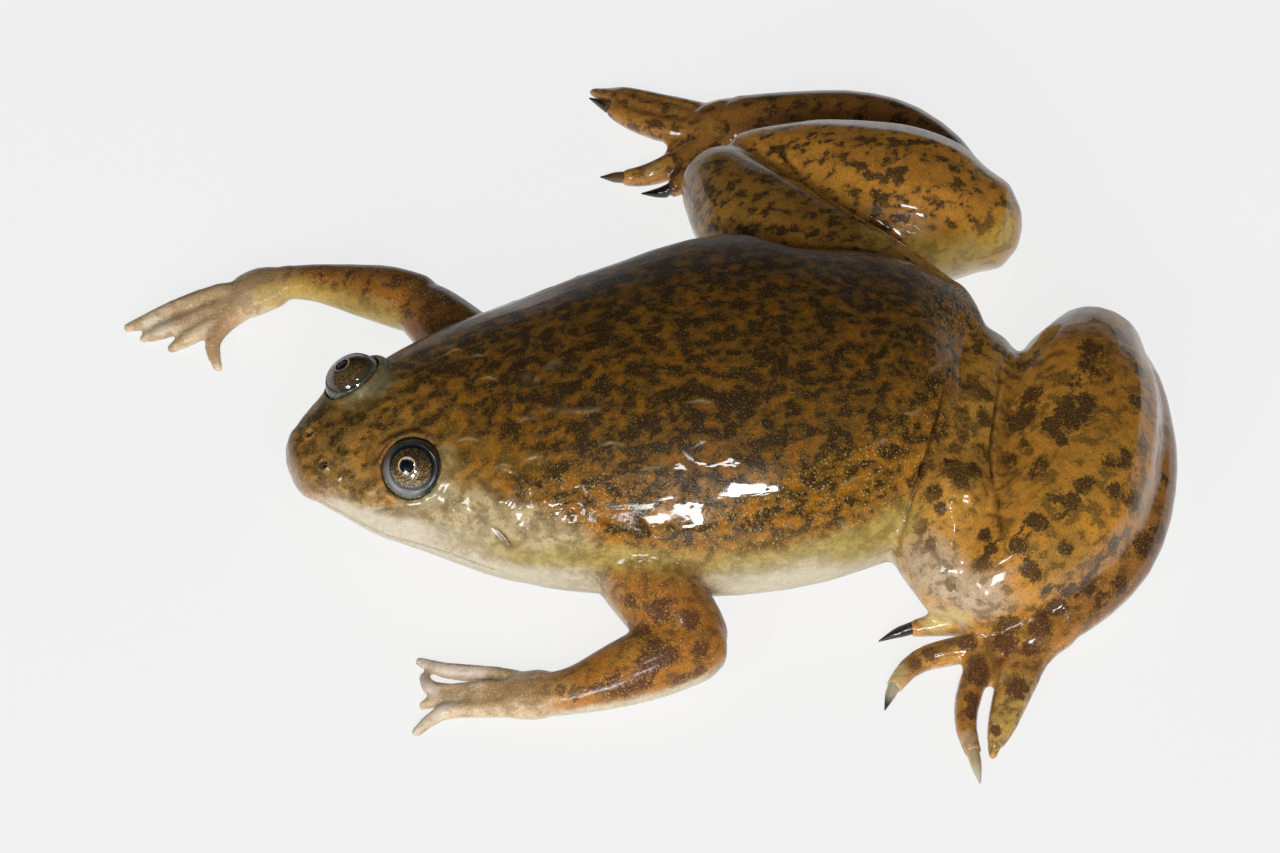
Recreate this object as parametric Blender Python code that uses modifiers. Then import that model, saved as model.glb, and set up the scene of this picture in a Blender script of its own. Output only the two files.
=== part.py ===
# African clawed frog at life size, lying on its belly with folded hind legs and bent arms.
# The head points along -Y, the frog's left side is +X, and the floor is z = 0.
# Every station and path below is in millimetres for an 80 mm body, and BODY_LENGTH scales them all.
import math

import bmesh
import bpy
from mathutils import Matrix, Vector

MM = 0.001
BODY_LENGTH = 80.0 * MM          # snout to rump
SCALE = BODY_LENGTH / 80.0       # metres for each millimetre of the stations
GAP = 0.3                        # clearance between neighbouring nodes
SECTION_POWER = 2.25             # a little fuller than an ellipse, for the trunk
FLOOR_SIZE = 400.0

EYE_RADIUS = 3.4
EYE_SPACING = 14.3               # between the two eye centres
EYE_MIDDLE = Vector((-2.25, -33.55, 15.2))
HEAD_YAW = math.radians(11.0)    # the head is turned a little to the frog's left
EYE_AXIS = (0.52, -0.35, 0.78)   # where the left eye looks, in the head's own directions
LID_RING_RADIUS = 3.55
LID_THICKNESS = 0.62

NECK_Y = -21.5                   # where the thin cut parts head and torso
MOUTH_START = (-45.0, 10.4)      # y and z of the mouth line at the snout
MOUTH_END = (-25.5, 7.6)         # y and z of the mouth corner
MOUTH_WIDTH = 0.45
MOUTH_DEPTH = 0.8
LIPS = ((0.14, 2.3), (0.28, 1.3))    # how proud of the jaw each step of the lips stands, and how high it is
NOSTRIL_RADIUS = 0.45
NOSTRIL_DEPTH = 1.1
NOSTRILS = ((0.5, -41.2), (-4.1, -41.6))

# Each trunk station: spine x, y, height of the widest line, half width, rise above it, drop below it.
TRUNK = [
    (-3.1, -42.3, 11.2, 4.6, 2.9, 2.8),
    (-3.1, -39.8, 11.0, 7.2, 4.5, 4.1),
    (-2.9, -36.5, 10.4, 9.8, 6.2, 5.2),
    (-2.5, -32.5, 9.8, 11.9, 7.6, 6.3),
    (-2.0, -27.0, 9.2, 14.7, 9.9, 7.5),
    (-1.0, -21.0, 8.8, 17.2, 12.2, 8.4),
    (0.5, -13.0, 8.4, 19.4, 14.8, 8.8),
    (1.4, -4.0, 8.0, 21.6, 16.3, 8.9),
    (1.7, 5.0, 8.0, 23.2, 16.8, 9.0),
    (1.6, 14.0, 8.0, 22.4, 15.9, 8.9),
    (0.2, 20.0, 8.2, 18.6, 14.4, 8.6),
    (-1.5, 25.0, 8.5, 14.2, 12.4, 8.2),
    (-2.2, 29.5, 8.8, 9.6, 9.8, 7.2),
    (-2.4, 33.2, 9.0, 7.0, 6.8, 5.6),
]
TRUNK_CAP = 1.8

# Girths are half width and half height at each point of a limb's path.
THIGH_GIRTH = [(6.2, 6.2), (7.0, 7.0), (7.2, 7.2), (6.8, 6.8), (4.8, 5.4)]
SHANK_GIRTH = [(4.6, 5.4), (7.4, 6.9), (9.0, 7.8), (9.2, 8.0), (8.4, 7.5), (6.0, 6.0)]
TARSUS_GIRTH = [
    (3.2, 3.5), (3.4, 3.7), (3.6, 3.8), (3.8, 3.8), (3.8, 3.6), (3.8, 3.4), (3.7, 3.1), (3.5, 2.7),
]
UPPER_ARM_GIRTH = [(4.4, 4.4), (4.8, 4.7), (4.7, 4.6), (4.2, 4.2)]
FOREARM_GIRTH = [(4.3, 4.2), (4.2, 4.0), (3.7, 3.4), (2.8, 2.6), (2.4, 2.1)]
PALM_GIRTH = [(2.3, 1.9), (3.0, 2.0), (2.8, 1.7)]
PAD_GIRTH = [(3.6, 2.5), (4.1, 2.3), (3.8, 1.9)]
FINGER_RADII = [1.15, 0.95, 0.85, 0.75, 0.4]
TOE_RADII = [1.5, 1.45, 1.3, 1.05, 0.35]
CLAW_RADII = [0.8, 0.62, 0.16]

LEFT = {
    "thigh": [(2.0, 32.0, 9.0), (9.0, 28.2, 9.2), (16.5, 24.6, 8.6), (23.0, 22.8, 7.6), (28.4, 22.2, 6.6)],
    "shank": [
        (31.0, 24.4, 6.2), (27.8, 30.4, 7.1), (22.2, 36.6, 7.7), (14.0, 40.8, 7.9),
        (6.2, 44.0, 7.6), (0.8, 47.0, 6.8),
    ],
    "tarsus": [
        (0.8, 49.6, 5.0), (6.0, 50.0, 4.8), (11.5, 49.1, 4.6), (17.0, 47.6, 4.4),
        (22.6, 45.2, 4.1), (28.2, 41.2, 3.6), (31.8, 36.4, 3.2), (33.8, 32.2, 2.8),
    ],
    "pad": [(33.8, 32.2, 2.5), (34.4, 29.4, 2.3), (34.4, 26.6, 2.0)],
    "toes": [
        [(32.4, 26.6, 2.0), (31.0, 22.4, 1.7), (30.2, 19.2, 1.4), (30.0, 16.9, 1.25)],
        [(34.2, 26.6, 2.1), (34.8, 21.4, 1.8), (34.6, 17.4, 1.5), (35.5, 14.7, 1.3), (37.4, 12.5, 1.1)],
        [
            (35.4, 27.0, 2.1), (36.6, 23.2, 1.9), (39.8, 20.6, 1.6),
            (43.1, 18.9, 1.4), (45.7, 18.2, 1.2), (48.6, 18.0, 1.0),
        ],
        [
            (36.2, 29.4, 2.1), (38.2, 26.2, 1.8), (40.9, 24.4, 1.5),
            (43.9, 22.7, 1.3), (46.7, 21.2, 1.0), (48.9, 20.1, 0.3),
        ],
        [
            (36.2, 31.0, 2.1), (38.2, 28.2, 1.7), (40.8, 26.2, 1.4),
            (43.4, 24.3, 1.2), (45.9, 22.6, 0.9), (47.6, 21.4, 0.3),
        ],
    ],
    "claws": [
        [(30.0, 16.9, 1.25), (29.9, 15.2, 1.05), (30.0, 13.4, 0.5)],
        [(37.4, 12.5, 1.1), (38.3, 11.8, 0.9), (39.4, 11.0, 0.45)],
        [(48.6, 18.0, 1.0), (50.4, 17.8, 0.85), (52.2, 17.6, 0.45)],
    ],
    "upper_arm": [(14.5, -13.0, 8.2), (20.0, -10.8, 7.4), (25.2, -8.6, 6.0), (27.9, -7.2, 5.2)],
    "forearm": [(28.4, -7.2, 4.7), (29.3, -11.6, 4.4), (29.8, -16.2, 3.9), (30.0, -20.6, 3.2), (29.6, -23.4, 2.8)],
    "palm": [(29.8, -22.6, 2.7), (28.8, -25.0, 2.3), (27.8, -27.2, 1.8)],
    "fingers": [
        [(27.8, -24.4, 2.0), (25.0, -27.2, 1.5), (23.3, -30.0, 1.2), (21.6, -33.4, 1.0), (19.0, -35.6, 0.3)],
        [(28.2, -25.4, 2.0), (26.1, -29.9, 1.7), (25.1, -33.6, 1.3), (23.6, -35.6, 1.0), (21.2, -35.7, 0.3)],
        [(28.8, -25.6, 1.9), (27.2, -29.6, 1.5), (26.2, -33.0, 1.2), (25.4, -35.0, 1.0), (25.2, -36.9, 0.3)],
        [(29.8, -25.2, 1.9), (29.0, -28.6, 1.5), (27.9, -32.0, 1.2), (27.3, -35.4, 1.0), (28.7, -38.6, 0.3)],
    ],
}
RIGHT = {
    "thigh": [(-5.0, 30.0, 9.0), (-12.5, 25.0, 9.0), (-20.0, 19.6, 8.8), (-28.0, 16.0, 8.0), (-35.6, 14.4, 7.0)],
    "shank": [
        (-37.2, 18.4, 6.6), (-33.3, 23.5, 7.4), (-29.0, 28.9, 7.9), (-26.0, 33.6, 7.9),
        (-23.7, 38.2, 7.2), (-22.3, 41.2, 6.6),
    ],
    "tarsus": [
        (-29.5, 41.2, 4.6), (-34.5, 40.2, 4.6), (-39.6, 37.6, 4.4), (-43.2, 33.8, 4.0),
        (-45.3, 29.4, 3.7), (-47.0, 24.4, 3.3), (-48.4, 20.2, 2.9),
    ],
    "pad": [(-48.6, 20.6, 2.5), (-48.4, 18.0, 2.2), (-47.6, 15.4, 1.8)],
    "toes": [
        [(-46.2, 17.0, 2.0), (-43.6, 13.8, 1.7), (-42.2, 11.8, 1.5), (-41.5, 10.2, 1.3)],
        [(-47.0, 16.6, 2.1), (-45.4, 12.8, 1.8), (-44.6, 9.8, 1.6), (-44.6, 7.4, 1.4), (-45.1, 5.7, 1.2)],
        [(-48.4, 17.0, 2.1), (-50.2, 13.2, 1.8), (-52.6, 10.3, 1.5), (-54.8, 8.5, 1.2), (-56.4, 7.5, 1.0)],
        [(-49.2, 18.0, 2.1), (-51.8, 14.2, 1.8), (-54.8, 10.9, 1.5), (-57.8, 8.3, 1.1), (-60.4, 6.4, 0.3)],
        [(-49.8, 19.0, 2.1), (-52.6, 15.8, 1.7), (-55.3, 12.4, 1.4), (-58.0, 9.2, 1.1), (-59.9, 7.4, 0.3)],
    ],
    "claws": [
        [(-41.5, 10.2, 1.3), (-41.8, 8.8, 1.1), (-42.7, 7.4, 0.5)],
        [(-45.1, 5.7, 1.2), (-45.8, 4.6, 0.95), (-46.6, 3.6, 0.45)],
        [(-56.4, 7.5, 1.0), (-57.7, 6.7, 0.85), (-59.2, 5.8, 0.45)],
    ],
    "upper_arm": [(-11.5, -17.0, 8.4), (-17.0, -19.4, 8.2), (-22.4, -21.8, 7.6), (-25.6, -22.9, 7.1)],
    "forearm": [
        (-26.6, -23.4, 7.0), (-28.9, -26.2, 7.0), (-31.0, -29.2, 6.8), (-33.6, -32.8, 6.3), (-35.8, -36.6, 5.5),
    ],
    "palm": [(-35.6, -37.0, 5.0), (-36.2, -39.6, 4.2), (-36.6, -41.6, 3.4)],
    "fingers": [
        [(-35.6, -39.0, 3.8), (-34.9, -42.6, 2.4), (-33.8, -44.9, 1.6), (-32.2, -46.0, 1.1), (-29.6, -46.0, 0.3)],
        [(-35.8, -39.6, 3.8), (-35.3, -43.6, 2.4), (-34.6, -46.6, 1.5), (-34.2, -48.6, 1.0), (-34.0, -50.4, 0.3)],
        [(-36.2, -39.6, 3.9), (-36.5, -43.8, 2.8), (-36.3, -48.0, 1.7), (-36.0, -51.0, 1.1), (-36.4, -53.0, 0.3)],
        [(-36.4, -39.4, 4.1), (-38.0, -43.8, 3.4), (-38.3, -49.0, 2.0), (-38.0, -52.2, 1.2), (-38.5, -54.4, 0.3)],
    ],
    "thin_arm": 0.82,
}
# Each web joins two neighbouring toes: share of each toe that it follows, and how far its edge dips.
WEBS = [(0.45, 0.4, 0.4), (0.75, 0.5, 0.45), (0.62, 0.55, 0.35), (0.9, 0.92, 0.15)]
WEB_THICKNESS = 0.6
WEB_STEPS = 5


def clear_scene():
    for old in list(bpy.data.objects):
        bpy.data.objects.remove(old, do_unlink=True)


def new_collection(name):
    collection = bpy.data.collections.new(name)
    bpy.context.scene.collection.children.link(collection)
    return collection


def new_object(name, mesh, collection):
    made = bpy.data.objects.new(name, mesh)
    collection.objects.link(made)
    return made


def finish_bmesh(bm, name, collection):
    """Writes a bmesh whose points are in station millimetres as an object in metres."""
    bmesh.ops.recalc_face_normals(bm, faces=bm.faces)
    bmesh.ops.scale(bm, vec=(SCALE, SCALE, SCALE), verts=bm.verts)
    mesh = bpy.data.meshes.new(name)
    bm.to_mesh(mesh)
    bm.free()
    return new_object(name, mesh, collection)


def principled(name, colour, roughness, metallic=0.0):
    material = bpy.data.materials.new(name)
    material.use_nodes = True
    shader = material.node_tree.nodes["Principled BSDF"]
    shader.inputs["Base Color"].default_value = (*colour, 1.0)
    shader.inputs["Roughness"].default_value = roughness
    shader.inputs["Metallic"].default_value = metallic
    return material


def smooth_rows(rows, steps):
    """Catmull-Rom curve through rows of numbers, with steps pieces between neighbours."""
    ends = [[2 * a - b for a, b in zip(rows[0], rows[1])]]
    ends += [list(row) for row in rows]
    ends += [[2 * a - b for a, b in zip(rows[-1], rows[-2])]]
    out = []
    for i in range(1, len(ends) - 2):
        p0, p1, p2, p3 = ends[i - 1: i + 3]
        for k in range(steps):
            t = k / steps
            out.append([
                0.5 * (2 * b + (c - a) * t + (2 * a - 5 * b + 4 * c - d) * t * t
                       + (3 * b - a - 3 * c + d) * t ** 3)
                for a, b, c, d in zip(p0, p1, p2, p3)
            ])
    out.append(list(rows[-1]))
    return out


def section(centre, side, width, rise, drop, sides, power):
    """One ring of a loft: a fuller ellipse with its own height above and below the widest line."""
    ring = []
    for i in range(sides):
        angle = 2 * math.pi * i / sides
        c, s = math.cos(angle), math.sin(angle)
        across = math.copysign(abs(c) ** (2 / power), c) * width
        up = math.copysign(abs(s) ** (2 / power), s) * (rise if s > 0 else drop)
        ring.append(centre + side * across + Vector((0, 0, up)))
    return ring


def loft(name, rows, sides, steps, collection, caps=(True, True), cap_length=None, grow=0.0, power=2.0,
         cap_rings=(0.75, 0.4)):
    """Closed body through rows of x, y, z, half width, rise and drop. A cap is round, and its absence is flat."""
    fine = smooth_rows(rows, steps)
    points = [Vector(row[:3]) for row in fine]
    tangents = [(points[min(i + 1, len(points) - 1)] - points[max(i - 1, 0)]).normalized()
                for i in range(len(points))]
    rings = []

    def add(point, tangent, sizes, shrink=1.0):
        side = Vector((tangent.y, -tangent.x, 0)).normalized()
        width, rise, drop = ((size + grow) * shrink for size in sizes)
        rings.append(section(point, side, width, rise, drop, sides, power))

    def cap(point, outward, tangent, sizes):
        reach = (cap_length or 0.8 * min(sizes)) + grow
        turns = [math.pi / 2 * ring for ring in cap_rings]
        return [(point + outward * reach * math.sin(turn), tangent, sizes, math.cos(turn))
                for turn in turns], point + outward * reach

    poles = [None, None]
    if caps[0]:
        extra, poles[0] = cap(points[0], -tangents[0], tangents[0], fine[0][3:])
        for item in extra:
            add(*item)
    for point, tangent, row in zip(points, tangents, fine):
        add(point, tangent, row[3:])
    if caps[1]:
        extra, poles[1] = cap(points[-1], tangents[-1], tangents[-1], fine[-1][3:])
        for item in reversed(extra):
            add(*item)
    bm = bmesh.new()
    loops = [[bm.verts.new(p) for p in ring] for ring in rings]
    for a, b in zip(loops, loops[1:]):
        for i in range(sides):
            j = (i + 1) % sides
            bm.faces.new((a[i], a[j], b[j], b[i]))
    for loop, pole in ((loops[0], poles[0]), (loops[-1], poles[1])):
        if pole is None:
            bm.faces.new(loop)
            continue
        tip = bm.verts.new(pole)
        for i in range(sides):
            bm.faces.new((loop[i], loop[(i + 1) % sides], tip))
    return finish_bmesh(bm, name, collection)


def evaluated_mesh(obj):
    graph = bpy.context.evaluated_depsgraph_get()
    return bpy.data.meshes.new_from_object(obj.evaluated_get(graph))


def apply_modifiers(obj):
    mesh = evaluated_mesh(obj)
    obj.modifiers.clear()
    obj.data = mesh


def keep_largest(obj):
    """Keeps the largest closed surface of a mesh, measured by its box."""
    bm = bmesh.new()
    bm.from_mesh(obj.data)
    left, islands = set(bm.verts), []
    while left:
        stack, island = [next(iter(left))], set()
        while stack:
            vert = stack.pop()
            if vert in island:
                continue
            island.add(vert)
            stack += [edge.other_vert(vert) for edge in vert.link_edges]
        islands.append(island)
        left -= island

    def spread(island):
        return sum(max(v.co[k] for v in island) - min(v.co[k] for v in island) for k in range(3))

    islands.sort(key=spread)
    loose = [vert for island in islands[:-1] for vert in island]
    bmesh.ops.delete(bm, geom=loose, context="VERTS")
    bm.to_mesh(obj.data)
    bm.free()


def combine(target, others, operation):
    """Booleans a target with other meshes, and keeps the largest body of what is left."""
    for other in others:
        boolean = target.modifiers.new(operation.lower(), "BOOLEAN")
        boolean.operation = operation
        boolean.solver = "EXACT"
        boolean.object = other
    apply_modifiers(target)
    keep_largest(target)
    return target


def join_pieces(name, pieces, collection):
    """One body from overlapping closed pieces, which are then removed."""
    helper = bpy.data.collections.new(name + "_pieces")
    for piece in pieces[1:]:
        helper.objects.link(piece)
    base = pieces[0]
    base.name = name
    boolean = base.modifiers.new("union", "BOOLEAN")
    boolean.operation = "UNION"
    boolean.solver = "EXACT"
    boolean.operand_type = "COLLECTION"
    boolean.collection = helper
    apply_modifiers(base)
    keep_largest(base)
    for piece in pieces[1:]:
        bpy.data.objects.remove(piece, do_unlink=True)
    bpy.data.collections.remove(helper)
    return base


def with_girth(path, girth):
    """Loft rows from a path and one half width and half height at each of its points."""
    return [(*point, width, height, height) for point, (width, height) in zip(path, girth)]


def with_radii(path, radii):
    """Loft rows of a round digit, whose radii are spread along however many points its path has."""
    rows = []
    for i, point in enumerate(path):
        place = i * (len(radii) - 1) / (len(path) - 1)
        k = min(int(place), len(radii) - 2)
        radius = radii[k] + (radii[k + 1] - radii[k]) * (place - k)
        rows.append((*point, radius, radius, radius))
    return rows


def path_point(path, share):
    """Point at a share of the way along a path, counted by its points."""
    place = share * (len(path) - 1)
    k = min(int(place), len(path) - 2)
    return Vector(path[k]).lerp(Vector(path[k + 1]), place - k)


def web(name, first, second, reach_first, reach_second, dip, collection):
    """Thin skin between two toes, with a hollow outer edge, split alike on both faces."""
    first = smooth_rows(first, 4)
    second = smooth_rows(second, 4)
    bm = bmesh.new()
    grid = []
    for j in range(WEB_STEPS + 1):
        across = j / WEB_STEPS
        edge = 1 - dip * 4 * across * (1 - across)
        row = []
        for i in range(WEB_STEPS + 1):
            along = edge * i / WEB_STEPS
            a = path_point(first, along * reach_first)
            b = path_point(second, along * reach_second)
            row.append(bm.verts.new(a.lerp(b, across)))
        grid.append(row)
    for j in range(WEB_STEPS):
        for i in range(WEB_STEPS):
            a, b = grid[j][i], grid[j][i + 1]
            c, d = grid[j + 1][i + 1], grid[j + 1][i]
            bm.faces.new((a, b, c))
            bm.faces.new((a, c, d))
    made = finish_bmesh(bm, name, collection)
    shell = made.modifiers.new("shell", "SOLIDIFY")
    shell.thickness = WEB_THICKNESS * SCALE
    shell.offset = 0.0
    apply_modifiers(made)
    return made


def head_direction(local):
    """Turns a direction in the head's own frame to the world's."""
    return Matrix.Rotation(HEAD_YAW, 3, "Z") @ Vector(local).normalized()


def eye_places():
    """Centre and looking direction of each eye, left and right."""
    across = head_direction((1, 0, 0)) * EYE_SPACING / 2
    x, y, z = EYE_AXIS
    return {
        "left": (EYE_MIDDLE + across, head_direction((x, y, z))),
        "right": (EYE_MIDDLE - across, head_direction((-x, y, z))),
    }


def sphere(name, centre, radius, collection, around=22, rings=11):
    bm = bmesh.new()
    bmesh.ops.create_uvsphere(bm, u_segments=around, v_segments=rings, radius=radius)
    bmesh.ops.translate(bm, vec=centre, verts=bm.verts)
    return finish_bmesh(bm, name, collection)


def lid_ring(name, centre, axis, collection):
    """The fleshy rim that an eye sits in, a torus round the direction it looks in."""
    turn = Vector((0, 0, 1)).rotation_difference(axis)
    bm = bmesh.new()
    around, sides = 24, 6
    rings = []
    for i in range(around):
        angle = 2 * math.pi * i / around
        out = Vector((math.cos(angle), math.sin(angle), 0))
        ring = []
        for k in range(sides):
            roll = 2 * math.pi * k / sides
            reach = LID_RING_RADIUS + LID_THICKNESS * math.cos(roll)
            local = out * reach + Vector((0, 0, LID_THICKNESS * math.sin(roll)))
            ring.append(bm.verts.new(centre + turn @ local))
        rings.append(ring)
    for i in range(around):
        a, b = rings[i], rings[(i + 1) % around]
        for k in range(sides):
            j = (k + 1) % sides
            bm.faces.new((a[k], a[j], b[j], b[k]))
    return finish_bmesh(bm, name, collection)


def floor_block(collection):
    """Cuts everything off at the floor, which leaves the small flats that the frog rests on."""
    bm = bmesh.new()
    bmesh.ops.create_cube(bm, size=FLOOR_SIZE)
    bmesh.ops.translate(bm, vec=(0, 0, -FLOOR_SIZE / 2), verts=bm.verts)
    return finish_bmesh(bm, "floor_cutter", collection)


def mouth_slab(name, height, collection):
    """A flat block along the plane of the mouth, from the snout to the mouth's corners."""
    (y0, z0), (y1, z1) = MOUTH_START, MOUTH_END
    bm = bmesh.new()
    bmesh.ops.create_cube(bm, size=1.0)
    bmesh.ops.scale(bm, vec=(60.0, math.hypot(y1 - y0, z1 - z0), height), verts=bm.verts)
    bmesh.ops.rotate(bm, matrix=Matrix.Rotation(math.atan2(z1 - z0, y1 - y0), 3, "X"), verts=bm.verts)
    bmesh.ops.translate(bm, vec=(0, (y0 + y1) / 2, (z0 + z1) / 2), verts=bm.verts)
    return finish_bmesh(bm, name, collection)


def mouth_cutter(collection):
    """A thin band just under the skin of the jaw, left from a slab once the inner head is taken out."""
    slab = mouth_slab("mouth_cutter", MOUTH_WIDTH, collection)
    combine(slab, [trunk("trunk_inner", collection, grow=-MOUTH_DEPTH)], "DIFFERENCE")
    return slab


def lip(name, proud, height, collection):
    """One step of the lips, a slice of the head that stands a little proud along the mouth."""
    grown = trunk(name, collection, grow=proud)
    combine(grown, [mouth_slab(name + "_slab", height, collection)], "INTERSECT")
    return grown


def nostril_cutter(name, x, y, skin, collection):
    """A short round pit, set square to the skin at its place on the snout."""
    graph = bpy.context.evaluated_depsgraph_get()
    above = Vector((x, y, 60.0)) * SCALE
    hit, place, normal, _ = skin.evaluated_get(graph).ray_cast(above, Vector((0, 0, -1)))
    if not hit:
        raise ValueError("the nostril misses the snout")
    bm = bmesh.new()
    bmesh.ops.create_cone(bm, cap_ends=True, segments=10, radius1=NOSTRIL_RADIUS * 0.6,
                          radius2=NOSTRIL_RADIUS * 1.25, depth=2 * NOSTRIL_DEPTH)
    turn = Vector((0, 0, 1)).rotation_difference(normal).to_matrix()
    bmesh.ops.rotate(bm, matrix=turn, verts=bm.verts)
    bmesh.ops.translate(bm, vec=place / SCALE, verts=bm.verts)
    return finish_bmesh(bm, name, collection)


def trunk(name, collection, grow=0.0):
    return loft(name, TRUNK, 32, 2, collection, cap_length=TRUNK_CAP, grow=grow, power=SECTION_POWER,
                cap_rings=(0.85, 0.6, 0.3))


def half_space(name, y, keep_front, collection):
    """A block that removes all behind the neck plane, or all in front of it, and half the gap beyond it."""
    bm = bmesh.new()
    bmesh.ops.create_cube(bm, size=FLOOR_SIZE)
    shift = (FLOOR_SIZE - GAP) / 2
    bmesh.ops.translate(bm, vec=(0, y + shift if keep_front else y - shift, 0), verts=bm.verts)
    return finish_bmesh(bm, name, collection)


def build_trunk(nodes, cutters):
    """Head and torso, parted by one thin cut, with the eyes in their sockets."""
    whole = trunk("trunk_whole", cutters)
    head = trunk("head", nodes)
    torso = trunk("torso", nodes)
    rings, sockets = [], []
    for side, (centre, axis) in eye_places().items():
        rings.append(lid_ring("lid_" + side, centre + axis * 0.2, axis, cutters))
        sockets.append(sphere("socket_" + side, centre, EYE_RADIUS + GAP, cutters))
        sphere("eye_" + side, centre, EYE_RADIUS, nodes)
    combine(head, rings, "UNION")
    combine(head, [lip("lip_%d" % i, *sizes, cutters) for i, sizes in enumerate(LIPS)], "UNION")
    nostrils = [nostril_cutter("nostril_%d" % i, x, y, whole, cutters) for i, (x, y) in enumerate(NOSTRILS)]
    combine(head, [half_space("behind_neck", NECK_Y, True, cutters)], "DIFFERENCE")
    combine(head, sockets, "DIFFERENCE")
    combine(head, nostrils, "DIFFERENCE")
    combine(head, [mouth_cutter(cutters)], "DIFFERENCE")
    combine(torso, [half_space("before_neck", NECK_Y, False, cutters)], "DIFFERENCE")


def limb(name, path, girth, nodes, cutters, neighbours, floor, sides=16, steps=2):
    """One length of a limb, cut clear of what it grows from, and its grown copy as the next one's cutter."""
    rows = with_girth(path, girth)
    made = loft(name, rows, sides, steps, nodes)
    grown = loft(name + "_grown", rows, sides, steps, cutters, grow=GAP)
    combine(made, [*neighbours, floor], "DIFFERENCE")
    return made, grown


def digit(name, path, radii, collection, caps=(True, True), grow=0.0):
    return loft(name, with_radii(path, radii), 8, 2, collection, caps=caps, cap_length=0.35, grow=grow,
                cap_rings=(0.5,))


def build_arm(side, shape, nodes, cutters, trunk_grown, floor):
    thin = shape.get("thin_arm", 1.0)
    upper_girth = [(w * thin, h * thin) for w, h in UPPER_ARM_GIRTH]
    fore_girth = [(w * thin, h * thin) for w, h in FOREARM_GIRTH]
    _, upper = limb("upper_arm_" + side, shape["upper_arm"], upper_girth, nodes, cutters, [trunk_grown], floor)
    _, fore = limb("forearm_" + side, shape["forearm"], fore_girth, nodes, cutters, [upper, trunk_grown], floor)
    pieces = [loft("palm", with_girth(shape["palm"], PALM_GIRTH), 12, 2, nodes)]
    pieces += [digit("finger", path, FINGER_RADII, nodes) for path in shape["fingers"]]
    hand = join_pieces("hand_" + side, pieces, nodes)
    combine(hand, [fore, floor], "DIFFERENCE")


def build_leg(side, shape, nodes, cutters, trunk_grown, floor):
    tarsus_girth = TARSUS_GIRTH[-len(shape["tarsus"]):]
    _, thigh = limb("thigh_" + side, shape["thigh"], THIGH_GIRTH, nodes, cutters, [trunk_grown], floor)
    _, shank = limb("shank_" + side, shape["shank"], SHANK_GIRTH, nodes, cutters, [thigh, trunk_grown], floor)
    _, tarsus = limb("tarsus_" + side, shape["tarsus"], tarsus_girth, nodes, cutters, [shank, thigh], floor)
    pieces = [loft("pad", with_girth(shape["pad"], PAD_GIRTH), 14, 2, nodes)]
    clawed = len(shape["claws"])
    for number, path in enumerate(shape["toes"]):
        radii = TOE_RADII[:-1] + [CLAW_RADII[0]] if number < clawed else TOE_RADII
        pieces.append(digit("toe", path, radii, nodes, caps=(True, number >= clawed)))
    for number, (reach_first, reach_second, dip) in enumerate(WEBS):
        first, second = shape["toes"][number], shape["toes"][number + 1]
        pieces.append(web("web", first, second, reach_first, reach_second, dip, nodes))
    foot = join_pieces("foot_" + side, pieces, nodes)
    grown_claws = []
    for number, path in enumerate(shape["claws"], start=1):
        along = (Vector(path[1]) - Vector(path[0])).normalized()
        path = [tuple(Vector(path[0]) + along * GAP), *path[1:]]
        name = "claw_%s_%d" % (side, number)
        claw = digit(name, path, CLAW_RADII, nodes, caps=(False, True))
        combine(claw, [shank, thigh, floor], "DIFFERENCE")
        grown_claws.append(digit(name + "_grown", path, CLAW_RADII, cutters, caps=(False, True), grow=GAP))
    combine(foot, [tarsus, shank, thigh, floor, *grown_claws], "DIFFERENCE")


def dress(nodes):
    """Gives each node its material and smooth shading."""
    skin = principled("wet_skin", (0.26, 0.15, 0.04), 0.3)
    digits = principled("pale_digits", (0.5, 0.36, 0.2), 0.35)
    eye = principled("dark_eye", (0.06, 0.04, 0.02), 0.08)
    claw = principled("black_claw", (0.02, 0.02, 0.02), 0.3)
    for node in nodes.objects:
        kind = node.name.split("_")[0]
        material = {"eye": eye, "claw": claw, "hand": digits}.get(kind, skin)
        node.data.materials.clear()
        node.data.materials.append(material)
        node.data.shade_smooth()


def main():
    clear_scene()
    nodes = new_collection("clawed_frog")
    cutters = new_collection("cutters")
    floor = floor_block(cutters)
    trunk_grown = trunk("trunk_grown", cutters, grow=GAP)
    build_trunk(nodes, cutters)
    combine(bpy.data.objects["torso"], [floor], "DIFFERENCE")
    for side, shape in (("left", LEFT), ("right", RIGHT)):
        build_arm(side, shape, nodes, cutters, trunk_grown, floor)
        build_leg(side, shape, nodes, cutters, trunk_grown, floor)
    for helper in cutters.objects:
        helper.hide_render = True
        helper.display_type = "WIRE"
    dress(nodes)


main()
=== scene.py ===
import bpy
import math
import numpy as np
from mathutils import Matrix, Vector, noise
from mathutils.bvhtree import BVHTree


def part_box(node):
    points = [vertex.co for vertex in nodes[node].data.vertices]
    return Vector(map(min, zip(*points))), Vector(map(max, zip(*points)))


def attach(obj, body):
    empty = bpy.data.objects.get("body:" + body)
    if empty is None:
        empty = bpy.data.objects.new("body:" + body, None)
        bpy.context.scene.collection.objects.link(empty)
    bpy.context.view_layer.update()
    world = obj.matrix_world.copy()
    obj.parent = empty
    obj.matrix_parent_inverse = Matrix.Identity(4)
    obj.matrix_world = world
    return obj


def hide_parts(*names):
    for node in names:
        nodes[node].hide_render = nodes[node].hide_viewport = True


mm = 0.001

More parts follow.
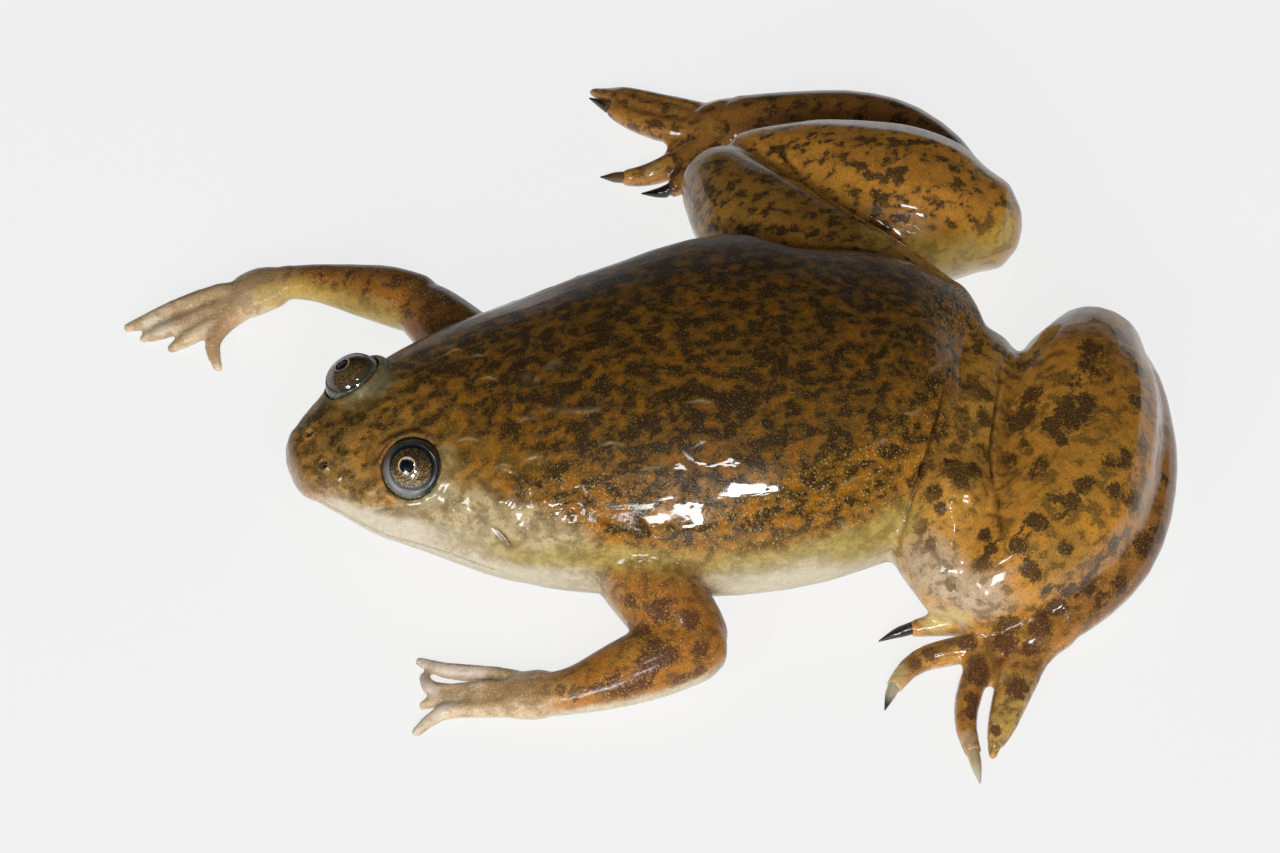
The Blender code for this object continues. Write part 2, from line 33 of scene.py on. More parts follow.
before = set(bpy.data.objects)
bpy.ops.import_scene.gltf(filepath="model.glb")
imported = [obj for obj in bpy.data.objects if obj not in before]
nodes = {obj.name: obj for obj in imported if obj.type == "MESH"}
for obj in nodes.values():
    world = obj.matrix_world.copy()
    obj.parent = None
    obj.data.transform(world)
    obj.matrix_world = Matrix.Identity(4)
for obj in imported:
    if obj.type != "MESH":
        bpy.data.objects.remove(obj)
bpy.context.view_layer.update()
print("frame: %d solids loaded" % len(nodes))


def pick(obj):
    if bpy.context.mode != "OBJECT":
        bpy.ops.object.mode_set(mode="OBJECT")
    bpy.ops.object.select_all(action="DESELECT")
    obj.select_set(True)
    bpy.context.view_layer.objects.active = obj


def useModifier(obj, kind, **settings):
    pick(obj)
    modifier = obj.modifiers.new(kind.lower(), kind)
    for name, value in settings.items():
        setattr(modifier, name, value)
    bpy.ops.object.modifier_apply(modifier=modifier.name)


def joinAll(pieces, name):
    pick(pieces[0])
    for piece in pieces:
        piece.select_set(True)
    bpy.ops.object.join()
    joined = bpy.context.view_layer.objects.active
    joined.name = joined.data.name = name
    return joined


def settle(obj):
    # place, turn and size go into the mesh, so that the object sits at the origin
    pick(obj)
    bpy.ops.object.transform_apply(location=True, rotation=True, scale=True)


def pointsOf(obj):
    flat = np.empty(len(obj.data.vertices) * 3, np.float32)
    obj.data.vertices.foreach_get("co", flat)
    return flat.reshape(-1, 3).astype(float) / mm


def normalsOf(obj):
    flat = np.empty(len(obj.data.vertices) * 3, np.float32)
    obj.data.vertex_normals.foreach_get("vector", flat)
    return flat.reshape(-1, 3).astype(float)


def movePoints(obj, points):
    obj.data.vertices.foreach_set("co", (points * mm).astype(np.float32).ravel())
    obj.data.update()


def edgesOf(obj):
    flat = np.empty(len(obj.data.edges) * 2, np.int32)
    obj.data.edges.foreach_get("vertices", flat)
    return flat.reshape(-1, 2)


def spread(values, edges, rounds):
    # averages each point's value with its neighbours', round after round
    values = np.array(values, float)
    flat = values.ndim == 1
    table = values[:, None] if flat else values
    count = np.maximum(np.bincount(edges.ravel(), minlength=len(table)), 1.0)[:, None]
    for _ in range(rounds):
        total = np.empty_like(table)
        for column in range(table.shape[1]):
            total[:, column] = np.bincount(edges[:, 0], table[edges[:, 1], column], len(table))
            total[:, column] += np.bincount(edges[:, 1], table[edges[:, 0], column], len(table))
        table = 0.5 * table + 0.5 * total / count
    return table[:, 0] if flat else table


def ease(low, high, values):
    # 0 below low, 1 above high, smooth between; low may be the greater
    t = np.clip((np.asarray(values, float) - low) / (high - low), 0, 1)
    return t * t * (3 - 2 * t)


def lumps(points, size, seed):
    # smooth random heights, about -1 to 1, in lumps of this size in millimetres
    shift = Vector((seed * 7.3, seed * 3.1, seed * 5.7))
    return np.array([noise.noise(Vector(p) / size + shift) for p in points])


def giveValues(obj, name, values):
    layer = obj.data.attributes.new(name, "FLOAT", "POINT")
    layer.data.foreach_set("value", np.asarray(values, np.float32))


def giveColours(obj, name, colours):
    layer = obj.data.attributes.new(name, "FLOAT_COLOR", "POINT")
    full = np.concatenate([colours, np.ones((len(colours), 1))], axis=1)
    layer.data.foreach_set("color", full.astype(np.float32).ravel())


def treeOf(names):
    points, faces = [], []
    for name in names:
        mesh = nodes[name].data
        start = len(points)
        points += [v.co / mm for v in mesh.vertices]
        faces += [[start + i for i in p.vertices] for p in mesh.polygons]
    return BVHTree.FromPolygons(points, faces)


def awayFrom(points, line):
    # distance of each point from a line of guide points, and how far along it the nearest spot is, 0 to 1
    line = np.array(line, float)
    steps = np.linalg.norm(np.diff(line, axis=0), axis=1)
    best = np.full(len(points), 1e9)
    share = np.zeros(len(points))
    walked = 0.0
    for a, b, length in zip(line[:-1], line[1:], steps):
        t = np.clip(((points - a) @ (b - a)) / max(length ** 2, 1e-12), 0, 1)
        away = np.linalg.norm(points - (a + t[:, None] * (b - a)), axis=1)
        nearer = away < best
        best[nearer] = away[nearer]
        share[nearer] = (walked + t[nearer] * length) / max(steps.sum(), 1e-9)
        walked += length
    return best, share


class Wire:
    # wraps a socket, so that shader maths reads as plain sums

    def __init__(self, tree, socket=None):
        self.tree = tree
        self.socket = socket

    def add(self, kind, settings=None, sockets=None, out=0):
        node = self.tree.nodes.new("ShaderNode" + kind)
        for name, value in (settings or {}).items():
            if name == "stops":
                ramp = node.color_ramp
                while len(ramp.elements) < len(value):
                    ramp.elements.new(1.0)
                for stop, (place, colour) in zip(ramp.elements, value):
                    stop.position = place
                    stop.color = (*colour, 1.0)
            else:
                setattr(node, name, value)
        for name, value in (sockets or {}).items():
            if isinstance(value, Wire):
                self.tree.links.new(value.socket, node.inputs[name])
            elif value is not None:
                node.inputs[name].default_value = value
        return Wire(self.tree, node.outputs[out])

    def sum(self, operation, first, second, clamp=False):
        return self.add("Math", {"operation": operation, "use_clamp": clamp}, {0: first, 1: second})

    def __add__(self, other):
        return self.sum("ADD", self, other)

    def __sub__(self, other):
        return self.sum("SUBTRACT", self, other)

    def __rsub__(self, other):
        return self.sum("SUBTRACT", other, self)

    def __mul__(self, other):
        return self.sum("MULTIPLY", self, other)

    def __pow__(self, other):
        return self.sum("POWER", self, other)

    def clipped(self):
        return self.sum("ADD", self, 0.0, clamp=True)

    def most(self, other):
        return self.sum("MAXIMUM", self, other)

    def eased(self, low, high):
        # 0 at low, 1 at high, smooth between; low may be the greater
        return self.add("MapRange", {"interpolation_type": "SMOOTHSTEP"},
                        {"Value": self, "From Min": low, "From Max": high})

    def between(self, low, high):
        # maps 0..1 to low..high
        return self * (high - low) + low

    def tint(self, start, end):
        # a colour between start and end, with this value as the share
        ends = [c if isinstance(c, Wire) else (*c, 1.0) for c in (start, end)]
        return self.add("Mix", {"data_type": "RGBA"}, {"Factor": self, 6: ends[0], 7: ends[1]}, out=2)

    def shaded(self, colour, darkest):
        # the colour times darkest where this value is 1
        grey = self.tint((1.0, 1.0, 1.0), darkest)
        return self.add("Mix", {"data_type": "RGBA", "blend_type": "MULTIPLY"},
                        {"Factor": 1.0, 6: colour, 7: grey}, out=2)

    def named(self, name, out=2):
        return self.add("Attribute", {"attribute_name": name}, out=out)

    def grain(self, where, size, detail=2.0, rough=0.5, warp=0.0, seed=0.0):
        # cloudy noise whose lumps are about size millimetres across
        return self.add("TexNoise", {"noise_dimensions": "4D"}, {
            "Vector": where, "W": seed, "Scale": 1 / (size * mm), "Detail": detail,
            "Roughness": rough, "Distortion": warp})

    def cells(self, where, size, softness=0.3):
        # distance from the middles of cells about size millimetres across, 0 at each middle
        return self.add("TexVoronoi", {"feature": "SMOOTH_F1"}, {
            "Vector": where, "Scale": 1 / (size * mm), "Smoothness": softness})


def newMaterial(name):
    material = bpy.data.materials.new(name)
    material.use_nodes = True
    tree = material.node_tree
    shader = tree.nodes["Principled BSDF"]
    wire = Wire(tree)
    where = wire.add("TexCoord", out=3)
    return material, shader, wire, where


def feed(wire, shader, **sockets):
    for name, value in sockets.items():
        wire.tree.links.new(value.socket, shader.inputs[name.replace("_", " ")])


def bumpOf(wire, height, strength, depth):
    return wire.add("Bump", None, {"Strength": strength, "Distance": depth * mm, "Height": height})


# Camera, floor and light.
photo = {
    "azimuth": 74.0, "elevation": 47.0, "distance": 0.9,
    "aim": (-0.00104, -0.00498, 0.008),
    "lens": 229.84, "sensor": 36.0,       # millimetres
    "width": 1280, "height": 853,         # pixels of the whole frame
}


def direction(azimuth, elevation):
    a, e = math.radians(azimuth), math.radians(elevation)
    return Vector((math.sin(a) * math.cos(e), -math.cos(a) * math.cos(e), math.sin(e)))


def cameraAxes():
    a = math.radians(photo["azimuth"])
    back = direction(photo["azimuth"], photo["elevation"])
    right = Vector((math.cos(a), math.sin(a), 0))
    return right, back.cross(right), back


def makeCamera():
    right, up, back = cameraAxes()
    bpy.ops.object.camera_add()
    camera = bpy.context.object
    camera.name = "photoCamera"
    turned = Matrix((right, up, back)).transposed().to_4x4()
    turned.translation = Vector(photo["aim"]) + back * photo["distance"]
    camera.matrix_world = turned
    camera.data.sensor_width = photo["sensor"]
    camera.data.lens = photo["lens"]
    camera.data.clip_start, camera.data.clip_end = 0.05, 20.0
    bpy.context.scene.camera = camera


def seenAt(tree, pixel):
    # the point of a surface, in millimetres, that the photo shows at this pixel, or None off the surface
    right, up, back = cameraAxes()
    eye = (Vector(photo["aim"]) + back * photo["distance"]) / mm
    far = photo["lens"] / photo["sensor"] * photo["width"]
    ray = right * (pixel[0] - photo["width"] / 2) - up * (pixel[1] - photo["height"] / 2) - back * far
    return tree.ray_cast(eye, ray.normalized())[0]


def seenLine(tree, pixels):
    return [p for p in (seenAt(tree, pixel) for pixel in pixels) if p is not None]


studio = {
    "floorSize": 6.0, "floorColour": (0.12, 0.12, 0.121), "floorGlow": 0.805,
    "mirroredGlow": 0.8,                                # share of the floor's glow that a glossy surface sees
    "tent": 0.26,                                       # soft light from all round
    "horizon": 0.5, "overhead": 0.015, "fade": (0.04, 0.16),    # what wet skin mirrors, low down and high up
    "rimLight": 5.0, "rimAzimuth": 254.0, "rimHeight": (0.01, 0.05, 0.12, 0.19),
    "boxes": [
        # azimuth, elevation, distance, width, height, power in watts
        (70.0, 21.0, 0.75, 0.13, 0.12, 2.0),
        (84.0, 38.0, 0.75, 0.12, 0.11, 1.6),
        (40.0, 28.0, 0.75, 0.22, 0.16, 1.8),
        (80.0, 64.0, 0.75, 0.07, 0.07, 0.4),
    ],
    "fills": [
        # wide and soft, too dull to be mirrored
        (74.0, 12.0, 1.2, 0.7, 0.4, 2.4),
        (150.0, 45.0, 1.4, 0.8, 0.8, 1.0),
    ],
}


def makeStudio():
    bpy.ops.mesh.primitive_plane_add(size=studio["floorSize"], location=(0, 0, -0.00004))
    floor = bpy.context.object
    floor.name = "floor"
    settle(floor)
    material, shader, wire, where = newMaterial("paleFloor")
    cloud = wire.grain(where, 90, 3, 0.5)
    base = studio["floorColour"]
    faded = cloud.tint([c * 0.98 for c in base], base)
    feed(wire, shader, Base_Color=faded, Roughness=cloud.between(0.5, 0.6))
    shader.inputs["Specular IOR Level"].default_value = 0.1
    mirrored = wire.add("LightPath", out=3)          # 1 for a ray that a glossy surface sends
    glow = (mirrored * (studio["mirroredGlow"] - 1) + 1).tint((0.0, 0.0, 0.0), (1.0, 1.0, 1.0))
    feed(wire, shader, Emission_Color=glow)
    shader.inputs["Emission Strength"].default_value = studio["floorGlow"]
    floor.data.materials.append(material)

    for kind in ("boxes", "fills"):
        for number, (azimuth, elevation, away, width, height, power) in enumerate(studio[kind]):
            place = direction(azimuth, elevation) * away + Vector((0, 0, 0.01))
            bpy.ops.object.light_add(type="AREA", location=place)
            lamp = bpy.context.object
            lamp.name = "%s%d" % (kind, number)
            lamp.data.shape = "RECTANGLE"
            lamp.data.size, lamp.data.size_y = width, height
            lamp.data.energy = power
            lamp.rotation_euler = (-direction(azimuth, elevation)).to_track_quat("-Z", "Y").to_euler()
            lamp.visible_glossy = kind == "boxes"

    world = bpy.data.worlds.new("lightTent")
    bpy.context.scene.world = world
    world.use_nodes = True
    wire = Wire(world.node_tree)
    way = wire.add("TexCoord", out=0)
    east = wire.add("SeparateXYZ", sockets={0: way}, out=0)
    north = wire.add("SeparateXYZ", sockets={0: way}, out=1)
    height = wire.add("SeparateXYZ", sockets={0: way}, out=2)
    behind = direction(studio["rimAzimuth"], 0)
    low, lowFull, highFull, high = studio["rimHeight"]
    rim = (east * behind.x + north * behind.y).eased(0.6, 0.9)
    rim = rim * height.eased(low, lowFull) * height.eased(high, highFull)
    mirrored = wire.add("LightPath", out=3)
    seen = height.eased(*studio["fade"]) * (studio["overhead"] - studio["horizon"]) + studio["horizon"]
    seen = seen + rim * studio["rimLight"]
    tent = mirrored * (seen - studio["tent"]) + studio["tent"]
    world.node_tree.links.new(tent.socket, world.node_tree.nodes["Background"].inputs["Strength"])
    bpy.context.scene.view_settings.view_transform = "Standard"
    print("studio: camera, floor and %d lamps" % (len(studio["boxes"]) + len(studio["fills"])))


# The skin: one surface over all the flesh.
skin = {
    "grow": 0.2,             # closes the gaps between the solids
    "voxel": 0.3,
    "rounds": (2, 26, 5),    # smoothing after the remesh: everywhere, on the broad forms, on the digits
    "eyeMargin": 1.8,        # the broad smoothing stays this far from the eyeballs
    "faces": 146000,         # triangles kept before the fine places are divided again
    "small": 0.026,          # a face of this many square millimetres needs no further division
    "divided": (0.7, 0.45),  # how far from a mark the faces are divided, first and second time
    "fineHead": 0.45, "fineDigits": 0.6,     # 0 thins freely, 1 not at all
    "unevenness": ((7.0, 0.16), (2.6, 0.05), (1.3, 0.03)),      # lump size and height
}
regions = {
    "trunk": ["torso", "head"],
    "arm": ["upper_arm_left", "upper_arm_right", "forearm_left", "forearm_right"],
    "hand": ["hand_left", "hand_right"],
    "thigh": ["thigh_left", "thigh_right"],
    "shank": ["shank_left", "shank_right"],
    "tarsus": ["tarsus_left", "tarsus_right"],
    "foot": ["foot_left", "foot_right"],
}
fleshNodes = [name for names in regions.values() for name in names]
digitNodes = ["hand_left", "hand_right", "foot_left", "foot_right"]


def copyOfNode(name):
    source = nodes[name]
    mesh = source.data.copy()
    mesh.materials.clear()
    made = bpy.data.objects.new(name + "Copy", mesh)
    bpy.context.collection.objects.link(made)
    pick(made)
    bpy.ops.object.mode_set(mode="EDIT")
    bpy.ops.mesh.select_all(action="SELECT")
    bpy.ops.mesh.remove_doubles(threshold=1e-6)
    bpy.ops.object.mode_set(mode="OBJECT")
    return made


def makeSkin():
    copies = []
    for name in fleshNodes:
        made = copyOfNode(name)
        useModifier(made, "DISPLACE", strength=skin["grow"] * mm, mid_level=0.0)
        copies.append(made)
    body = joinAll(copies, "skin")
    useModifier(body, "REMESH", mode="VOXEL", voxel_size=skin["voxel"] * mm, use_smooth_shade=True)
    everywhere, broadly, onDigits = skin["rounds"]
    useModifier(body, "SMOOTH", factor=0.5, iterations=everywhere)
    points = pointsOf(body)
    digits = insideBoxes(points, digitNodes, 0.5)
    broad = ~digits & (points[:, 2] > 0.6)
    for side in ("left", "right"):
        away = np.linalg.norm(points - np.array(eyes[side]["centre"]), axis=1)
        broad &= away > eyes["radius"] + skin["eyeMargin"]
    group = body.vertex_groups.new(name="broad")
    group.add([int(i) for i in np.nonzero(broad)[0]], 1.0, "REPLACE")
    useModifier(body, "SMOOTH", factor=0.5, iterations=broadly, vertex_group="broad")
    group = body.vertex_groups.new(name="digits")
    group.add([int(i) for i in np.nonzero(digits)[0]], 1.0, "REPLACE")
    useModifier(body, "SMOOTH", factor=0.5, iterations=onDigits, vertex_group="digits")
    body.vertex_groups.clear()
    print("skin: one surface of %d faces" % len(body.data.polygons))
    return body


def insideBoxes(points, names, reach):
    found = np.zeros(len(points), bool)
    for name in names:
        low, high = (np.array(corner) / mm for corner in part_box(name))
        found |= np.all((points > low - reach) & (points < high + reach), axis=1)
    return found


def thinSkin(body):
    # fewer faces where the form is plain, more on head, hands and feet
    points = pointsOf(body)
    fine = np.zeros(len(points))
    fine[insideBoxes(points, ["head"], 1.0)] = skin["fineHead"]
    fine[insideBoxes(points, digitNodes, 1.0)] = skin["fineDigits"]
    group = body.vertex_groups.new(name="plain")
    for value in np.unique(fine):
        group.add([int(i) for i in np.nonzero(fine == value)[0]], float(1 - value), "REPLACE")
    triangles = sum(len(p.vertices) - 2 for p in body.data.polygons)
    useModifier(body, "DECIMATE", ratio=min(1.0, skin["faces"] / triangles), vertex_group="plain",
                vertex_group_factor=1.0, use_collapse_triangulate=True)
    body.vertex_groups.clear()
    print("skin: thinned to %d faces" % len(body.data.polygons))


# Raised stitches, folds and creases, as lines of pixels in the photo, and the mouth and nostrils by size.
marks = {
    "stitchHeight": 0.13, "stitchWidth": 0.15,
    "stitches": [
        [(494, 467), (503, 464), (513, 466)], [(525, 459), (536, 456), (547, 458)],
        [(496, 468), (507, 469), (518, 475)], [(518, 420), (528, 416), (537, 418)],
        [(538, 411), (552, 408), (567, 411)], [(569, 410), (585, 412), (600, 407)],
        [(478, 379), (488, 376), (498, 379)], [(518, 380), (527, 376), (538, 380)],
        [(545, 367), (553, 361), (561, 364)], [(571, 369), (582, 365), (592, 367)],
        [(444, 354), (453, 349), (462, 348)], [(470, 357), (477, 354), (484, 355)],
        [(517, 360), (521, 358), (525, 360)], [(905, 412), (912, 413), (919, 410)],
        [(874, 446), (881, 441), (887, 437)], [(843, 485), (850, 482), (855, 478)],
        [(862, 507), (866, 515)], [(841, 520), (847, 531)], [(823, 532), (828, 543)],
        [(802, 530), (808, 526), (813, 525)], [(669, 552), (677, 550), (685, 552)],
        [(638, 265), (645, 262), (653, 264)], [(930, 371), (937, 365), (942, 361)],
        [(456, 440), (468, 437), (480, 440)], [(600, 445), (611, 441), (622, 444)],
        [(690, 402), (701, 399), (712, 402)], [(640, 470), (650, 466), (660, 469)],
    ],
    # a row down the flank that the photo hides: how many, first y, step, height, and how it sways
    "farStitches": 10, "farStart": -20, "farStep": 4.1, "farHeight": 15.5, "farSway": 2.2,
    "foldDepth": 0.26, "foldWidth": 0.26,
    "folds": [
        [(640, 525), (648, 531), (655, 538)], [(575, 484), (586, 497), (598, 508)],
        [(560, 509), (570, 515), (580, 522)], [(493, 526), (502, 536), (511, 546)],
        [(600, 520), (615, 528), (630, 538)], [(372, 513), (383, 511), (395, 508)],
        [(375, 462), (381, 450), (390, 441)],
    ],
    "creaseDepth": 0.34, "creaseWidth": 0.24,
    "creases": [
        [(950, 363), (944, 395), (936, 428), (922, 468), (908, 510), (898, 545)],
        [(1003, 370), (998, 400), (993, 440), (992, 470), (998, 500), (1001, 528), (996, 556)],
        [(768, 140), (790, 165), (815, 190), (850, 216), (885, 232)],
    ],
    "swellings": [
        # low rises at a pixel: radius and height in millimetres
        ((500, 500), 3.2, 0.42), ((548, 500), 2.4, 0.3), ((455, 512), 2.2, 0.22), ((590, 520), 2.6, 0.25),
        ((365, 494), 1.8, 0.25), ((338, 478), 1.6, 0.2), ((525, 535), 2.6, 0.25), ((960, 486), 4.6, 1.3),
    ],
    "pebbles": [
        # places bumpy enough to break a reflection up: pixels, radius, lump size, height
        ([(448, 500), (480, 499), (512, 503), (548, 511)], 3.4, 0.95, 0.06),
        ([(695, 502), (730, 492), (768, 478)], 4.4, 0.55, 0.022),
        ([(950, 515), (962, 528)], 2.8, 0.95, 0.05),
        ([(322, 475), (345, 482)], 1.4, 0.7, 0.04),
        ([(602, 572), (645, 574)], 1.4, 0.8, 0.04),
    ],
    # y and z of the ends of the line of the mouth, in millimetres
    "mouthStart": (-45.0, 10.4), "mouthEnd": (-25.5, 7.6),
    "mouthDepth": 0.3, "mouthWidth": 0.18, "lipHeight": 0.12, "lipReach": 0.75,
    "nostrils": ((0.5, -41.2), (-4.1, -41.6)),
    "nostrilRadius": 0.36, "nostrilDepth": 0.55, "nostrilRim": 0.16,
}


def skinTree(body):
    mesh = body.data
    return BVHTree.FromPolygons([v.co / mm for v in mesh.vertices], [p.vertices[:] for p in mesh.polygons])


def farStitchLines(tree):
    # a row of short bowed marks on the hidden flank, found by looking at it from its own side
    lines = []
    for k in range(marks["farStitches"]):
        y = marks["farStart"] + k * marks["farStep"]
        z = marks["farHeight"] + marks["farSway"] * math.sin(k * 0.8)
        line = []
        for step in (-0.9, 0.0, 0.9):
            hit = tree.ray_cast(Vector((-60, y + step, z + 0.35 * (1 - abs(step)))), Vector((1, 0, 0)))[0]
            if hit is not None:
                line.append(hit)
        if len(line) == 3:
            lines.append(line)
    return lines


def mouthGap(points):
    # height above the plane of the mouth, and 1 on the stretch that has a mouth
    (y0, z0), (y1, z1) = marks["mouthStart"], marks["mouthEnd"]
    slope = math.atan2(z1 - z0, y1 - y0)
    above = (points[:, 2] - z0) * math.cos(slope) - (points[:, 1] - y0) * math.sin(slope)
    return above, ease(y1 + 0.3, y1 - 1.2, points[:, 1]) * ease(12.5, 11.8, points[:, 2])


def planMarks(body):
    tree = skinTree(body)
    plan = {
        "stitch": [seenLine(tree, line) for line in marks["stitches"]] + farStitchLines(tree),
        "fold": [seenLine(tree, line) for line in marks["folds"]],
        "crease": [seenLine(tree, line) for line in marks["creases"]],
        "rise": [(seenAt(tree, pixel), radius, height) for pixel, radius, height in marks["swellings"]],
        "pebble": [(seenLine(tree, line), *rest) for line, *rest in marks["pebbles"]],
        "nostril": [],
    }
    for x, y in marks["nostrils"]:
        plan["nostril"].append(tree.ray_cast(Vector((x, y, 40)), Vector((0, 0, -1)))[0])
    for name in ("stitch", "fold", "crease"):
        plan[name] = [line for line in plan[name] if len(line) > 1]
    print("marks: %d stitches, %d folds" % (len(plan["stitch"]), len(plan["fold"])))
    return plan


def divideNear(body, plan, reach):
    # smaller faces where there are fine marks
    points = pointsOf(body)
    wanted = np.zeros(len(points), bool)
    for name in ("stitch", "fold", "crease"):
        for line in plan[name]:
            low, high = np.min(line, axis=0) - reach, np.max(line, axis=0) + reach
            close = np.nonzero(np.all((points > low) & (points < high), axis=1))[0]
            away, _ = awayFrom(points[close], line)
            wanted[close[away < reach]] = True
    for spot in plan["nostril"]:
        wanted |= np.linalg.norm(points - np.array(spot), axis=1) < reach + 0.5
    for line, radius, *_ in plan["pebble"]:
        wanted |= awayFrom(points, line)[0] < radius
    above, held = mouthGap(points)
    wanted |= (np.abs(above) < reach) & (held > 0) & insideBoxes(points, ["head"], 0.5)
    mesh = body.data
    corner = np.empty(len(mesh.loops), np.int32)
    mesh.loops.foreach_get("vertex_index", corner)
    corner = corner.reshape(-1, 3)
    a, b, c = (points[corner[:, k]] for k in range(3))
    area = np.linalg.norm(np.cross(b - a, c - a), axis=1) / 2
    chosen = wanted[corner].any(axis=1) & (area > skin["small"])
    pick(body)
    bpy.context.tool_settings.mesh_select_mode = (False, False, True)
    bpy.ops.object.mode_set(mode="EDIT")
    bpy.ops.mesh.select_all(action="DESELECT")
    bpy.ops.object.mode_set(mode="OBJECT")
    mesh.polygons.foreach_set("select", chosen)
    bpy.ops.object.mode_set(mode="EDIT")
    bpy.ops.mesh.subdivide(number_cuts=1, smoothness=0.0)
    bpy.ops.mesh.select_all(action="SELECT")
    bpy.ops.mesh.quads_convert_to_tris()
    bpy.ops.object.mode_set(mode="OBJECT")


def carveSkin(body, plan):
    points, normals, edges = pointsOf(body), normalsOf(body), edgesOf(body)
    lift = np.zeros(len(points))
    ridge, groove = np.zeros(len(points)), np.zeros(len(points))

    # the skin goes back to the solids' size, except on the thin digits and round the eyes, where it closes in
    shrink = 1.0 * ~insideBoxes(points, digitNodes, 0.0)
    shrink = spread(shrink, edges, 12)
    for side in ("left", "right"):
        centre = np.array(eyes[side]["centre"])
        shrink *= ease(eyes["radius"] + 0.7, eyes["radius"] + 1.6, np.linalg.norm(points - centre, axis=1))
    lift -= 0.85 * skin["grow"] * shrink * ease(0.3, 1.2, points[:, 2])

    trunkNear = insideBoxes(points, ["torso", "head"], 0.0)
    for number, (size, height) in enumerate(skin["unevenness"]):
        share = np.where(trunkNear, 1.0, 0.6) * ease(1.0, 4.0, points[:, 2]) * shrink
        lift += lumps(points, size, number + 1) * height * share

    for spot, radius, height in plan["rise"]:
        away = np.linalg.norm(points - np.array(spot), axis=1)
        bumpy = 1 + 0.35 * lumps(points, 1.1, 9) * (away < 2 * radius)
        lift += height * np.exp(-(away / radius) ** 2 * 1.8) * bumpy

    for line, radius, size, height in plan["pebble"]:
        away, _ = awayFrom(points, line)
        close = np.nonzero(away < radius * 1.4)[0]
        lift[close] += lumps(points[close], size, 12) * height * ease(radius * 1.4, radius * 0.7, away[close])

    for line in plan["stitch"]:
        away, share = awayFrom(points, line)
        form = np.exp(-(away / marks["stitchWidth"]) ** 2) * np.sin(np.pi * np.clip(share, 0.04, 0.96)) ** 0.5
        lift += marks["stitchHeight"] * form
        ridge = np.maximum(ridge, form)
    # folds and creases are cut in, and their valleys are kept for painted shade
    for name in ("fold", "crease"):
        for line in plan[name]:
            away, share = awayFrom(points, line)
            taper = np.clip(np.sin(np.pi * np.clip(share, 0.02, 0.98)), 0, 1) ** 0.4
            form = np.exp(-(away / marks[name + "Width"]) ** 2) * taper
            lip = np.exp(-((away - 0.62) / 0.3) ** 2) * taper
            lift += -marks[name + "Depth"] * form + 0.09 * lip
            groove = np.maximum(groove, form * (1.0 if name == "crease" else 0.7))

    above, held = mouthGap(points)
    held = held * insideBoxes(points, ["head"], 0.6)
    form = np.exp(-(above / marks["mouthWidth"]) ** 2) * held
    lift += -marks["mouthDepth"] * form
    lift += marks["lipHeight"] * np.exp(-((np.abs(above) - 0.55) / (0.5 * marks["lipReach"])) ** 2) * held
    groove = np.maximum(groove, 0.5 * form)

    for spot in plan["nostril"]:
        away = np.linalg.norm(points - np.array(spot), axis=1)
        pit = np.exp(-(away / marks["nostrilRadius"]) ** 4)
        rim = np.exp(-((away - 0.62) / 0.2) ** 2)
        lift += -marks["nostrilDepth"] * pit + marks["nostrilRim"] * rim
        groove = np.maximum(groove, pit)

    points = points + normals * lift[:, None]
    points[:, 2] = np.maximum(points[:, 2], 0.0)
    movePoints(body, points)
    useModifier(body, "SMOOTH", factor=0.3, iterations=1)
    pick(body)
    bpy.ops.object.shade_smooth()
    giveValues(body, "ridge", spread(ridge, edges, 1))
    # painted shade along the folds, creases and mouth line and in the nostril pits
    giveValues(body, "groove", spread(groove, edges, 1))
    print("skin: carved, %d faces" % len(body.data.polygons))


# What the skin is painted with: for each region the light ground and the dark blotches.
palette = {
    "trunk": ((0.335, 0.13, 0.01), (0.04, 0.023, 0.008)),
    "arm": ((0.4, 0.152, 0.026), (0.105, 0.042, 0.022)),
    "hand": ((0.64, 0.49, 0.31), (0.43, 0.28, 0.15)),
    "thigh": ((0.57, 0.28, 0.052), (0.07, 0.036, 0.016)),
    "shank": ((0.6, 0.258, 0.035), (0.066, 0.034, 0.015)),
    "tarsus": ((0.275, 0.114, 0.036), (0.075, 0.032, 0.016)),
    "foot": ((0.64, 0.3, 0.064), (0.12, 0.05, 0.026)),
    "olive": (0.41, 0.335, 0.125), "cream": (0.56, 0.5, 0.37), "jaw": (0.56, 0.49, 0.38),
    "underside": (0.62, 0.54, 0.38), "head": (0.44, 0.225, 0.052),
}

